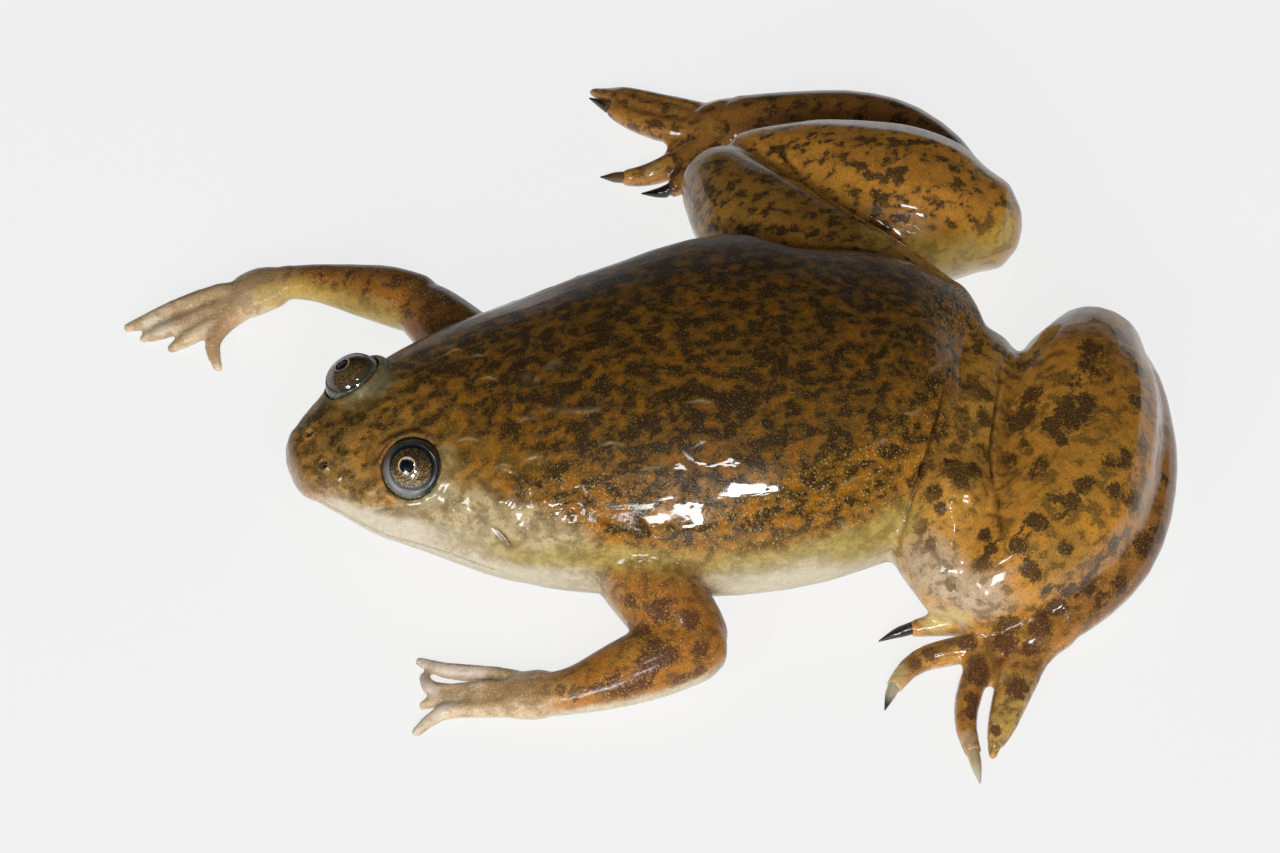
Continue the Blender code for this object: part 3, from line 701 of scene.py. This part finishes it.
# Strokes of colour laid where the photo shows them: pixels, radius in millimetres, colour, strength,
# and how much of the blotching under the stroke is washed out.
strokes = [
    ([(318, 478), (306, 466), (302, 452)], 2.4, (0.33, 0.15, 0.04), 0.85, 0.2),
    ([(335, 470), (350, 482), (362, 488)], 1.8, (0.3, 0.2, 0.07), 0.5, 0.3),
    ([(345, 425), (332, 440)], 1.8, (0.12, 0.075, 0.028), 0.6, 0.0),
    ([(445, 452), (450, 472), (443, 493), (425, 506), (402, 509)], 1.0, (0.4, 0.36, 0.2), 0.65, 0.7),
    ([(377, 476), (381, 456), (392, 443)], 1.0, (0.27, 0.11, 0.032), 0.75, 0.4),
    ([(396, 438), (415, 433), (437, 438)], 0.7, (0.11, 0.06, 0.018), 0.6, 0.0),
    ([(378, 362), (386, 376), (376, 388), (352, 396), (332, 398)], 1.3, (0.17, 0.195, 0.12), 0.85, 0.7),
    ([(332, 402), (350, 407), (368, 403)], 1.2, (0.21, 0.14, 0.035), 0.6, 0.3),
    ([(458, 440), (498, 455), (535, 466)], 1.2, (0.32, 0.15, 0.022), 0.6, 0.5),
    ([(452, 470), (470, 482), (490, 478)], 1.4, (0.33, 0.19, 0.045), 0.5, 0.5),
    ([(440, 505), (480, 514), (530, 528), (570, 545)], 2.6, (0.5, 0.43, 0.25), 0.75, 0.6),
    ([(560, 555), (610, 556), (660, 560)], 1.5, (0.43, 0.33, 0.09), 0.7, 0.6),
    ([(850, 548), (878, 538), (898, 520)], 2.6, (0.43, 0.32, 0.08), 0.75, 0.7),
    ([(922, 560), (950, 586), (985, 600)], 3.0, (0.5, 0.43, 0.33), 0.7, 0.3),
    ([(1092, 340), (1112, 375), (1105, 415)], 3.0, (0.44, 0.17, 0.02), 0.5, 0.0),
    ([(1050, 565), (1075, 555)], 2.4, (0.22, 0.15, 0.05), 0.5, 0.0),
    ([(1100, 420), (1090, 470), (1055, 520)], 4.0, (0.3, 0.16, 0.024), 0.4, 0.0),
    ([(908, 627), (935, 622), (962, 620)], 1.5, (0.64, 0.5, 0.2), 0.9, 0.9),
    ([(965, 640), (930, 648), (906, 662)], 1.5, (0.42, 0.2, 0.04), 0.8, 0.0),
    ([(898, 670), (893, 684)], 1.2, (0.64, 0.49, 0.23), 0.85, 0.9),
    ([(995, 655), (970, 690), (963, 722)], 1.5, (0.41, 0.175, 0.036), 0.8, 0.0),
    ([(966, 742), (974, 762), (980, 776)], 1.3, (0.52, 0.38, 0.22), 0.85, 0.8),
    ([(1024, 686), (1008, 718), (997, 746)], 1.7, (0.6, 0.4, 0.11), 0.85, 0.0),
    ([(986, 706), (994, 690), (1002, 678)], 0.9, (0.46, 0.29, 0.1), 0.7, 0.6),
    ([(1080, 600), (1050, 640), (1030, 665)], 1.8, (0.32, 0.13, 0.03), 0.6, 0.0),
    ([(268, 292), (310, 296), (350, 304), (388, 318)], 1.7, (0.46, 0.32, 0.075), 0.85, 0.8),
    ([(300, 268), (360, 272), (410, 277)], 1.2, (0.24, 0.11, 0.03), 0.8, 0.0),
    ([(425, 284), (444, 300), (440, 322)], 2.4, (0.14, 0.058, 0.018), 0.85, 0.0),
    ([(292, 266), (255, 276), (215, 298)], 1.8, (0.4, 0.24, 0.09), 0.75, 0.3),
    ([(235, 300), (205, 312), (180, 320)], 1.2, (0.38, 0.23, 0.13), 0.7, 0.4),
    ([(700, 165), (765, 190), (850, 222)], 4.5, (0.26, 0.118, 0.018), 0.7, 0.0),
    ([(605, 92), (670, 112), (735, 108)], 2.6, (0.39, 0.16, 0.032), 0.7, 0.0),
    ([(760, 100), (850, 104), (920, 124)], 1.8, (0.33, 0.145, 0.024), 0.6, 0.0),
    ([(850, 150), (920, 165), (985, 195)], 2.4, (0.33, 0.13, 0.02), 0.6, 0.0),
    ([(160, 326), (148, 327)], 1.2, (0.6, 0.52, 0.4), 0.8, 0.8),
    ([(232, 318), (220, 335), (213, 352)], 1.2, (0.42, 0.24, 0.11), 0.8, 0.6),
    ([(880, 236), (930, 254), (985, 250), (1012, 226)], 2.0, (0.56, 0.4, 0.075), 0.85, 0.75),
    ([(620, 172), (650, 168)], 1.2, (0.5, 0.3, 0.11), 0.8, 0.4),
    ([(570, 690), (545, 692), (500, 697), (470, 700)], 1.0, (0.5, 0.32, 0.11), 0.7, 0.2),
    ([(562, 684), (530, 688), (495, 690)], 1.3, (0.42, 0.215, 0.075), 0.75, 0.1),
    ([(421, 659), (436, 668), (480, 671)], 0.8, (0.72, 0.61, 0.52), 0.8, 0.9),
    ([(425, 676), (430, 690), (424, 697)], 0.8, (0.72, 0.62, 0.54), 0.8, 0.9),
    ([(417, 727), (432, 713), (448, 705)], 0.9, (0.7, 0.6, 0.48), 0.8, 0.9),
    ([(600, 640), (625, 650), (650, 640)], 1.6, (0.42, 0.22, 0.04), 0.5, 0.0),
]

# Dark blotches of the near limbs, each a pixel and a radius in pixels.
blotches = [
    (978, 674, 13), (975, 662, 9), (1005, 643, 12), (1008, 623, 13), (1017, 687, 11), (1040, 629, 12),
    (1031, 648, 8), (972, 712, 7), (973, 700, 7), (930, 654, 7), (915, 664, 6), (967, 642, 8), (995, 730, 5),
    (950, 640, 6), (1145, 545, 13), (1114, 545, 10), (1093, 566, 11), (1135, 500, 10), (1160, 533, 10),
    (1120, 585, 9), (1086, 585, 11), (1056, 606, 10), (1041, 617, 8), (1166, 430, 6), (1100, 600, 7),
    (1070, 590, 8), (1165, 480, 6), (1022, 419, 16), (1031, 395, 12), (1050, 425, 10), (1074, 416, 15),
    (1066, 400, 9), (1093, 349, 13), (1120, 334, 9), (1099, 376, 11), (1086, 365, 8), (1062, 380, 5),
    (1077, 383, 5), (1123, 456, 11), (1142, 447, 8), (1110, 462, 8), (1037, 471, 9), (1042, 462, 7),
    (1086, 484, 9), (1071, 502, 9), (1114, 490, 8), (1041, 523, 8), (1032, 519, 7), (1019, 545, 9),
    (1065, 548, 7), (1028, 569, 8), (1035, 575, 7), (1010, 459, 7), (1085, 400, 9), (1060, 440, 8),
    (1136, 400, 9), (1139, 370, 8), (1128, 350, 8), (1050, 500, 6), (1025, 445, 6), (1061, 518, 5),
    (1047, 590, 6),
    (973, 389, 13), (985, 395, 8), (961, 416, 9), (955, 468, 13), (962, 480, 9), (982, 453, 9),
    (975, 470, 8), (933, 493, 8), (921, 526, 7), (982, 563, 8), (990, 548, 6), (940, 508, 6), (930, 545, 6),
    (965, 440, 6), (984, 420, 7), (950, 585, 6), (985, 535, 6),
    (660, 610, 12), (690, 620, 9), (640, 632, 9),
    (650, 665, 12), (668, 655, 9), (622, 690, 9), (640, 685, 8), (598, 688, 7), (612, 680, 6), (700, 650, 8),
    (680, 680, 7), (575, 693, 6), (545, 690, 5), (532, 683, 4), (516, 692, 4),
    (630, 600, 7), (700, 672, 7), (655, 645, 8), (560, 690, 5),
]
pixelsPerMillimetre = 9.1

# Places with a film of water on them: pixels, radius in millimetres, wetness.
films = [
    ([(384, 356), (400, 345), (430, 327), (470, 314), (520, 307), (562, 300), (606, 288)], 1.6, 1.0),
    ([(970, 284), (992, 312), (1008, 345)], 1.1, 1.0),
    ([(1150, 365), (1162, 430), (1146, 495), (1105, 555)], 3.0, 1.0),
    ([(770, 132), (850, 132), (930, 142), (996, 180)], 1.4, 1.0),
    ([(600, 92), (650, 98), (750, 105)], 1.8, 1.0),
    ([(860, 205), (885, 212)], 2.4, 1.0),
    ([(440, 498), (480, 500), (545, 508)], 3.8, 1.4),
    ([(695, 502), (730, 492), (768, 478)], 4.6, 1.2),
    ([(945, 505), (962, 520), (975, 540)], 3.4, 1.4),
    ([(1000, 485), (1005, 510), (1000, 540)], 1.2, 1.0),
    ([(600, 575), (640, 575)], 1.6, 1.0),
    ([(300, 470), (325, 476), (345, 480)], 2.0, 0.8),
]


def pathOf(tree, pixels):
    # at least two points, so that a single spot is a line too
    path = seenLine(tree, pixels)
    return path * 2 if len(path) == 1 else path


def blend(ground, colour, share):
    return ground + (np.array(colour) - ground) * share[:, None]


def paintSkin(body):
    # colours and values over the surface that the skin's material reads
    points, normals, edges = pointsOf(body), normalsOf(body), edgesOf(body)
    _, y, z = points.T
    tree = skinTree(body)
    near = {}
    for name, names in regions.items():
        own = treeOf(names)
        near[name] = np.array([own.find_nearest(Vector(p))[3] for p in points])
    weights = {name: np.exp(-np.maximum(away - 0.2, 0) / 0.9) for name, away in near.items()}
    total = sum(weights.values())
    weights = {name: spread(w / total, edges, 6) for name, w in weights.items()}
    facing = spread(normals[:, 2], edges, 25)
    cloud = lumps(points, 3.0, 21)

    light = sum(weights[name][:, None] * np.array(palette[name][0]) for name in regions)
    dark = sum(weights[name][:, None] * np.array(palette[name][1]) for name in regions)
    bare = np.zeros(len(points))          # 1 where no blotches lie

    trunk = weights["trunk"]
    headShare = ease(-22, -34, y) * trunk
    light = blend(light, palette["head"], 0.6 * headShare)
    limb = np.clip(1 - trunk, 0, 1)
    under = limb * ease(0.12, -0.4, facing + cloud * 0.1) * (1 - 0.4 * weights["foot"])
    layers = [
        # colour, where it lies, its strength, and how much blotching it washes out
        ("olive", trunk * ease(13.6, 11.0, z + cloud * 1.1), 0.9, 0.75),
        ("cream", trunk * ease(10.6, 8.4, z + cloud * 0.8), 1.0, 1.0),
        ("jaw", headShare * ease(13.2, 11.4, z + cloud * 0.5), 1.0, 1.0),
        ("underside", under, 0.9, 1.0),
        ("underside", weights["arm"] * ease(0.22, -0.2, facing + cloud * 0.12), 0.85, 0.9),
    ]
    for name, share, strength, wash in layers:
        light = blend(light, palette[name], strength * share)
        bare = np.maximum(bare, wash * share)

    for line, radius, colour, strength, wash in strokes:
        path = pathOf(tree, line)
        if not path:
            continue
        low, high = np.min(path, axis=0) - radius * 2, np.max(path, axis=0) + radius * 2
        close = np.nonzero(np.all((points > low) & (points < high), axis=1))[0]
        away, _ = awayFrom(points[close], path)
        share = strength * ease(radius * 1.5, radius * 0.45, away + cloud[close] * radius * 0.25)
        light[close] = blend(light[close], colour, share)
        bare[close] = bare[close] * (1 - share) + share * wash

    field, placed = np.zeros(len(points)), np.zeros(len(points))
    for px, py, size in blotches:
        spot = seenAt(tree, (px, py))
        if spot is None:
            continue
        radius = size / pixelsPerMillimetre
        away = np.linalg.norm(points - np.array(spot), axis=1)
        field = np.maximum(field, 1 - away / (2 * min(radius * 1.25, radius + 0.2)))
        placed = np.maximum(placed, ease(7.0, 4.0, away))

    wet = weights["foot"] + weights["tarsus"] + 0.75 * weights["shank"]
    wet = wet + 0.75 * weights["thigh"] + 0.15 * weights["arm"]
    for line, radius, strength in films:
        path = pathOf(tree, line)
        if not path:
            continue
        away, _ = awayFrom(points, path)
        share = strength * ease(radius * 1.5, radius * 0.6, away)
        wet = wet * (1 - share) + share
    # how far each point lies in a hollow of the skin, kept for painted shade there
    hollow = np.einsum("ij,ij->i", spread(points, edges, 8) - points, normals)
    giveColours(body, "ground", np.clip(light, 0, 1))
    giveColours(body, "blotch", np.clip(dark, 0, 1))
    pebbled = trunk * ease(21.5, 18.0, z) * ease(8.0, 12.0, z) * ease(-26, -14, y)
    values = {
        "bare": spread(bare, edges, 3), "field": np.clip(field, 0, 1), "placed": placed * limb,
        "limb": limb, "soft": np.clip(weights["hand"], 0, 1), "high": trunk * ease(15, 23, z),
        "wet": np.clip(spread(wet, edges, 4), 0, 1), "hollow": ease(0.03, 0.17, spread(hollow, edges, 1)),
        "pebbled": np.clip(pebbled + 0.5 * weights["arm"], 0, 1),
    }
    for name, value in values.items():
        giveValues(body, name, value)
    print("skin: painted")


def skinMaterial():
    material, shader, wire, where = newMaterial("wetSkin")
    ground, blotch = wire.named("ground", 0), wire.named("blotch", 0)
    bare, field, placed, limb, soft, wet = map(wire.named, ("bare", "field", "placed", "limb", "soft", "wet"))
    high, ridge, groove, hollow, pebbled = map(wire.named, ("high", "ridge", "groove", "hollow", "pebbled"))

    fine = wire.grain(where, 0.2, 2, 0.7, seed=1.0)
    small = wire.grain(where, 0.62, 3, 0.65, seed=2.0)
    drawn = wire.add("VectorMath", {"operation": "MULTIPLY"}, {0: where, 1: (1.1, 0.85, 1.05)})
    patch = wire.grain(drawn, 1.5, 3, 0.6, 0.25, seed=3.0)
    broad = wire.grain(where, 9.0, 2, 0.5, seed=4.0)

    # smudges in three tones on the trunk, looser spots on the limbs, and the listed blotches
    rough = patch + (fine - 0.5) * 0.2 + (small - 0.5) * 0.16 + (broad - 0.5) * 0.16
    lit = rough - high * 0.04
    net = 1 - (lit.eased(0.42, 0.49) * 0.5 + lit.eased(0.51, 0.58) * 0.5)
    loose = rough.eased(0.5, 0.41) * (1 - placed * 0.3)
    laid = (field + (small - 0.5) * 0.85 + (fine - 0.5) * 0.45).eased(0.38, 0.62)
    dark = net * (1 - limb) + (net * 0.28).most(loose).most(laid) * limb
    dark = dark * (1 - bare)
    colour = (dark * 0.95).tint(ground, blotch)
    halfway = dark * (1 - dark) * 4
    colour = (halfway * 0.25).tint(colour, (0.165, 0.108, 0.022))

    # pigment grains, dark and gold
    pepper = fine.eased(0.52, 0.66)
    colour = (pepper * (0.72 - bare * 0.45 - soft * 0.2)).shaded(colour, (0.24, 0.2, 0.18))
    gold = wire.grain(where, 0.17, 1, 0.5, seed=6.0).eased(0.58, 0.7)
    colour = (gold * (0.42 - bare * 0.26)).tint(colour, (0.62, 0.42, 0.1))
    cloudy = small.eased(0.38, 0.66)
    colour = (cloudy * 0.3).shaded(colour, (0.5, 0.45, 0.4))
    # painted shade: the upper back darkened, where less light falls on it
    colour = (high * 0.58).shaded(colour, (0.35, 0.35, 0.37))

    away = wire.cells(where, 0.48, 0.15)
    pebble = away.eased(0.48, 0.05)
    tip = away.eased(0.24, 0.1) * broad.eased(0.34, 0.58)
    colour = (tip * pebbled * 0.6).tint(colour, (0.72, 0.52, 0.17))
    bumps = wire.cells(where, 0.3, 0.3).eased(0.5, 0.1)
    colour = (bumps * soft * 0.25).tint(colour, (0.8, 0.7, 0.6))

    colour = (ridge * 0.5).tint(colour, (0.46, 0.34, 0.16))
    # painted shade: darker in the skin's hollows
    colour = (hollow * 0.7).shaded(colour, (0.28, 0.22, 0.18))
    # painted shade: dark in the grooves of folds, creases and mouth and in the nostril pits
    colour = (groove * 0.85).shaded(colour, (0.12, 0.08, 0.06))

    rise = pebble * (pebbled * 0.8 + 0.15) + small * 0.55 + bumps * (soft * 0.4) + fine * 0.15
    roughness = small.between(0.2, 0.34) + high * 0.22 - pebbled * 0.14
    shader.inputs["IOR"].default_value = 1.28
    shader.inputs["Coat IOR"].default_value = 1.46
    shader.inputs["Coat Roughness"].default_value = 0.05
    feed(wire, shader, Base_Color=colour, Roughness=roughness,
         Normal=bumpOf(wire, rise, 0.8, 0.075), Coat_Weight=(wet * (small * 0.5 + 0.65)).clipped())
    return material


# Eyes: a ball with its iris, and a clear cornea over it.
eyes = {
    "radius": 3.4,
    "left": {"centre": (4.77, -32.19, 15.2), "axis": (0.577, -0.244, 0.78), "pupil": (-0.42, 0.2)},
    "right": {"centre": (-9.27, -34.91, 15.2), "axis": (-0.138, -0.429, 0.893), "pupil": (-0.18, 0.35)},
    "limbus": 2.72,          # radius of the clear front
    "irisRise": 1.22,        # how far the iris bows out
    "irisReach": {"left": 2.15, "right": 2.05},      # radius of the brown
    "pupilRadius": 0.8, "pupilDepth": 0.16,
    "corneaRise": 0.04, "corneaReach": 3.0,
    "steps": 96,
}


def turnedLathe(name, profile, place):
    # spins a profile of (distance from the axis, height along it), in millimetres, round the eye's axis
    mesh = bpy.data.meshes.new(name)
    links = [(i, i + 1) for i in range(len(profile) - 1)]
    mesh.from_pydata([(r * mm, 0, h * mm) for r, h in profile], links, [])
    made = bpy.data.objects.new(name, mesh)
    bpy.context.collection.objects.link(made)
    pick(made)
    bpy.ops.object.mode_set(mode="EDIT")
    bpy.ops.mesh.select_all(action="SELECT")
    bpy.ops.mesh.spin(steps=eyes["steps"], angle=2 * math.pi, center=(0, 0, 0), axis=(0, 0, 1))
    bpy.ops.mesh.select_all(action="SELECT")
    bpy.ops.mesh.remove_doubles(threshold=1e-6)
    bpy.ops.mesh.normals_make_consistent(inside=False)
    bpy.ops.object.mode_set(mode="OBJECT")
    bpy.ops.object.shade_smooth()
    axis = Vector(place["axis"]).normalized()
    right = cameraAxes()[0]
    side = (right - axis * right.dot(axis)).normalized()       # the camera's right, laid into the iris
    turned = Matrix((side, axis.cross(side), axis)).transposed().to_4x4()
    turned.translation = Vector(place["centre"]) * mm
    local = pointsOf(made)
    made.matrix_world = turned
    settle(made)
    return made, local


def makeEyes():
    radius, limbus = eyes["radius"], eyes["limbus"]
    edge = math.sqrt(radius ** 2 - limbus ** 2)
    ball = [(0.0, -radius)]
    turns = 30
    last = math.degrees(math.asin(edge / radius))
    for k in range(1, turns + 1):
        turn = math.radians(-90 + (90 + last) * k / turns)
        ball.append((radius * math.cos(turn), radius * math.sin(turn)))
    iris = [(limbus - 0.07, edge - 0.05)]
    for k in range(1, 17):
        r = (limbus - 0.1) * (1 - k / 16)
        iris.append((r, edge - 0.05 + eyes["irisRise"] * (1 - (r / limbus) ** 2)))
    outer = []
    for k in range(24):
        r = eyes["corneaReach"] * k / 23
        sink = 0.06 * ease(limbus - 0.1, eyes["corneaReach"], r)
        rise = eyes["corneaRise"] * (1 - ease(0.0, limbus, r))
        outer.append((r, math.sqrt((radius + 0.02) ** 2 - r ** 2) + float(rise) - float(sink)))
    inner = [(r * 0.985, h - 0.1) for r, h in reversed(outer)]
    inner[-1] = (0.0, inner[-1][1])
    ballMaterial, clearMaterial = eyeMaterial(), corneaMaterial()
    for side in ("left", "right"):
        place = eyes[side]
        eyeball, local = turnedLathe("eyeball_" + side, ball + iris, place)
        fromAxis = np.linalg.norm(local[:, :2], axis=1)
        fromPupil = np.linalg.norm(local[:, :2] - np.array(place["pupil"]), axis=1)
        front = local[:, 2] > edge - 0.06
        points = pointsOf(eyeball)
        hole = ease(eyes["pupilRadius"] + 0.08, eyes["pupilRadius"] - 0.12, fromPupil)
        sunk = eyes["pupilDepth"] * hole * front
        movePoints(eyeball, points - np.outer(sunk, Vector(place["axis"]).normalized()))
        fromIris = np.where(front, fromAxis, limbus + (edge - local[:, 2])) / eyes["irisReach"][side]
        giveValues(eyeball, "fromAxis", fromIris)
        # painted reflection: on the near eye, a pale gleam towards the lower left of the ring
        giveValues(eyeball, "pale", ease(0.2, 2.3, -0.7 * local[:, 0] - 0.7 * local[:, 1]) * (side == "left"))
        giveValues(eyeball, "fromPupil", fromPupil)
        giveValues(eyeball, "lower", local[:, 1])
        giveValues(eyeball, "gilded", np.full(len(local), 1.0 if side == "left" else 0.25))
        eyeball.data.materials.append(ballMaterial)
        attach(eyeball, "root")
        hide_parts("eye_" + side)
        cornea, _ = turnedLathe("cornea_" + side, outer + inner, place)
        cornea.data.materials.append(clearMaterial)
        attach(cornea, "root")
    print("eyes: two eyeballs with clear corneas")


def eyeMaterial():
    material, shader, wire, where = newMaterial("goldFleckedEye")
    away, pupilAway = wire.named("fromAxis"), wire.named("fromPupil")
    lower, pale, gilded = wire.named("lower"), wire.named("pale"), wire.named("gilded")
    fleck = wire.grain(where, 0.13, 2, 0.6, seed=11.0)
    cloud = wire.grain(where, 0.8, 2, 0.6, seed=12.0)
    below = lower.eased(1.0, -1.2)
    brown = cloud.tint((0.022, 0.013, 0.006), (0.06, 0.036, 0.014))
    brown = (below * 0.5).tint(brown, (0.11, 0.068, 0.027))
    gold = fleck.eased(0.54, 0.64) * (below * 0.75 + 0.2) * gilded
    colour = gold.tint(brown, (0.62, 0.42, 0.16))
    colour = fleck.eased(0.45, 0.36).tint(colour, (0.01, 0.006, 0.004))
    ring = cloud.tint((0.009, 0.012, 0.013), (0.024, 0.034, 0.035))
    # painted reflection: the ring pales to grey towards the lower left of the near eye, as a gleam
    ring = (pale * 0.75).tint(ring, (0.19, 0.18, 0.182))
    ring = gilded.tint((0.06, 0.052, 0.028), ring)
    colour = (away.eased(0.98, 1.06) * gilded).tint(colour, (0.008, 0.008, 0.011))
    colour = (away + (cloud - 0.5) * 0.1).eased(1.07, 1.17).tint(colour, ring)
    goldRing = pupilAway.eased(0.79, 0.84) * pupilAway.eased(1.02, 0.92) * lower.eased(-0.75, -0.2)
    colour = goldRing.tint(colour, (0.56, 0.38, 0.2))
    colour = pupilAway.eased(0.84, 0.78).tint(colour, (0.002, 0.003, 0.008))
    silver = wire.grain(where, 0.2, 2, 0.6, seed=13.0).eased(0.45, 0.66)
    white = silver.tint((0.07, 0.085, 0.055), (0.36, 0.4, 0.32))
    white = lower.eased(-0.6, 1.2).tint(white, (0.06, 0.05, 0.032))
    colour = (away + (cloud - 0.5) * 0.35).eased(1.35, 1.75).tint(colour, white)
    feed(wire, shader, Base_Color=colour, Roughness=fleck.between(0.3, 0.2),
         Normal=bumpOf(wire, fleck, 0.3, 0.03))
    shader.inputs["Coat Weight"].default_value = 0.3
    shader.inputs["Coat Roughness"].default_value = 0.03
    return material


def corneaMaterial():
    # clear, with a mirror gloss that grows towards the edge
    material, shader, wire, where = newMaterial("clearCornea")
    haze = wire.grain(where, 1.2, 2, 0.5, seed=14.0)
    turned = wire.add("LayerWeight", None, {"Blend": 0.5}, out=1)
    edge = turned ** 5.0 * 0.15 + 0.03
    clear = wire.add("BsdfTransparent")
    shader.inputs["Base Color"].default_value = (0.93, 0.96, 1.0, 1.0)
    shader.inputs["Metallic"].default_value = 1.0
    feed(wire, shader, Roughness=haze.between(0.015, 0.04))
    gloss = Wire(wire.tree, shader.outputs[0])
    mixed = wire.add("MixShader", None, {0: edge, 1: clear, 2: gloss})
    wire.tree.links.new(mixed.socket, wire.tree.nodes["Material Output"].inputs["Surface"])
    return material


# Claws: horn over each of the three inner toes' tips.
claws = {
    "levels": 2,
    "rooted": 0.8,           # how far the root is pushed into the toe, in millimetres
    # colour at the root and at the tip
    "black": ((0.022, 0.02, 0.02), (0.006, 0.006, 0.007)),
    "grey": ((0.42, 0.35, 0.24), (0.03, 0.03, 0.034)),
    "pale": ((0.46, 0.33, 0.18), (0.55, 0.46, 0.34)),
    "brown": ((0.16, 0.085, 0.035), (0.03, 0.018, 0.01)),
    "kinds": {"claw_left_1": "black", "claw_left_2": "grey", "claw_left_3": "pale",
              "claw_right_1": "black", "claw_right_2": "brown", "claw_right_3": "brown"},
}


def makeClaws():
    materials = {}
    for name, kind in claws["kinds"].items():
        if kind not in materials:
            materials[kind] = hornMaterial(kind)
        claw = copyOfNode(name)
        claw.name = claw.data.name = "horn" + name[4:]
        useModifier(claw, "SUBSURF", levels=claws["levels"], render_levels=claws["levels"])
        pick(claw)
        bpy.ops.object.shade_smooth()
        points = pointsOf(claw)
        side = name.split("_")[1]
        foot = treeOf(["foot_" + side])
        gap = np.array([foot.find_nearest(Vector(p))[3] for p in points])
        root, tip = points[gap < gap.min() + 0.25].mean(axis=0), points[gap.argmax()]
        along = np.clip((points - root) @ (tip - root) / np.sum((tip - root) ** 2), 0, 1)
        giveValues(claw, "tipward", along)
        back = (tip - root) / np.linalg.norm(tip - root) * claws["rooted"]
        movePoints(claw, points - ease(0.3, 0.0, along)[:, None] * back)
        claw.data.materials.append(materials[kind])
        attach(claw, "root")
        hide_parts(name)
    print("claws: six horn tips")


def hornMaterial(kind):
    root, tip = claws[kind]
    material, shader, wire, where = newMaterial(kind + "Horn")
    streak = wire.grain(where, 0.35, 3, 0.6, seed=21.0)
    along = (wire.named("tipward") + (streak - 0.5) * 0.3).eased(0.15, 0.75)
    colour = (streak * 0.3).shaded(along.tint(root, tip), (0.5, 0.5, 0.5))
    feed(wire, shader, Base_Color=colour, Roughness=streak.between(0.16, 0.34),
         Normal=bumpOf(wire, streak, 0.3, 0.03))
    shader.inputs["Coat Weight"].default_value = 0.7
    shader.inputs["Coat Roughness"].default_value = 0.05
    return material


makeCamera()
makeStudio()
body = makeSkin()
thinSkin(body)
plan = planMarks(body)
for reach in skin["divided"]:
    divideNear(body, plan, reach)
carveSkin(body, plan)
paintSkin(body)
body.data.materials.append(skinMaterial())
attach(body, "root")
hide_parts(*fleshNodes)
makeEyes()
makeClaws()
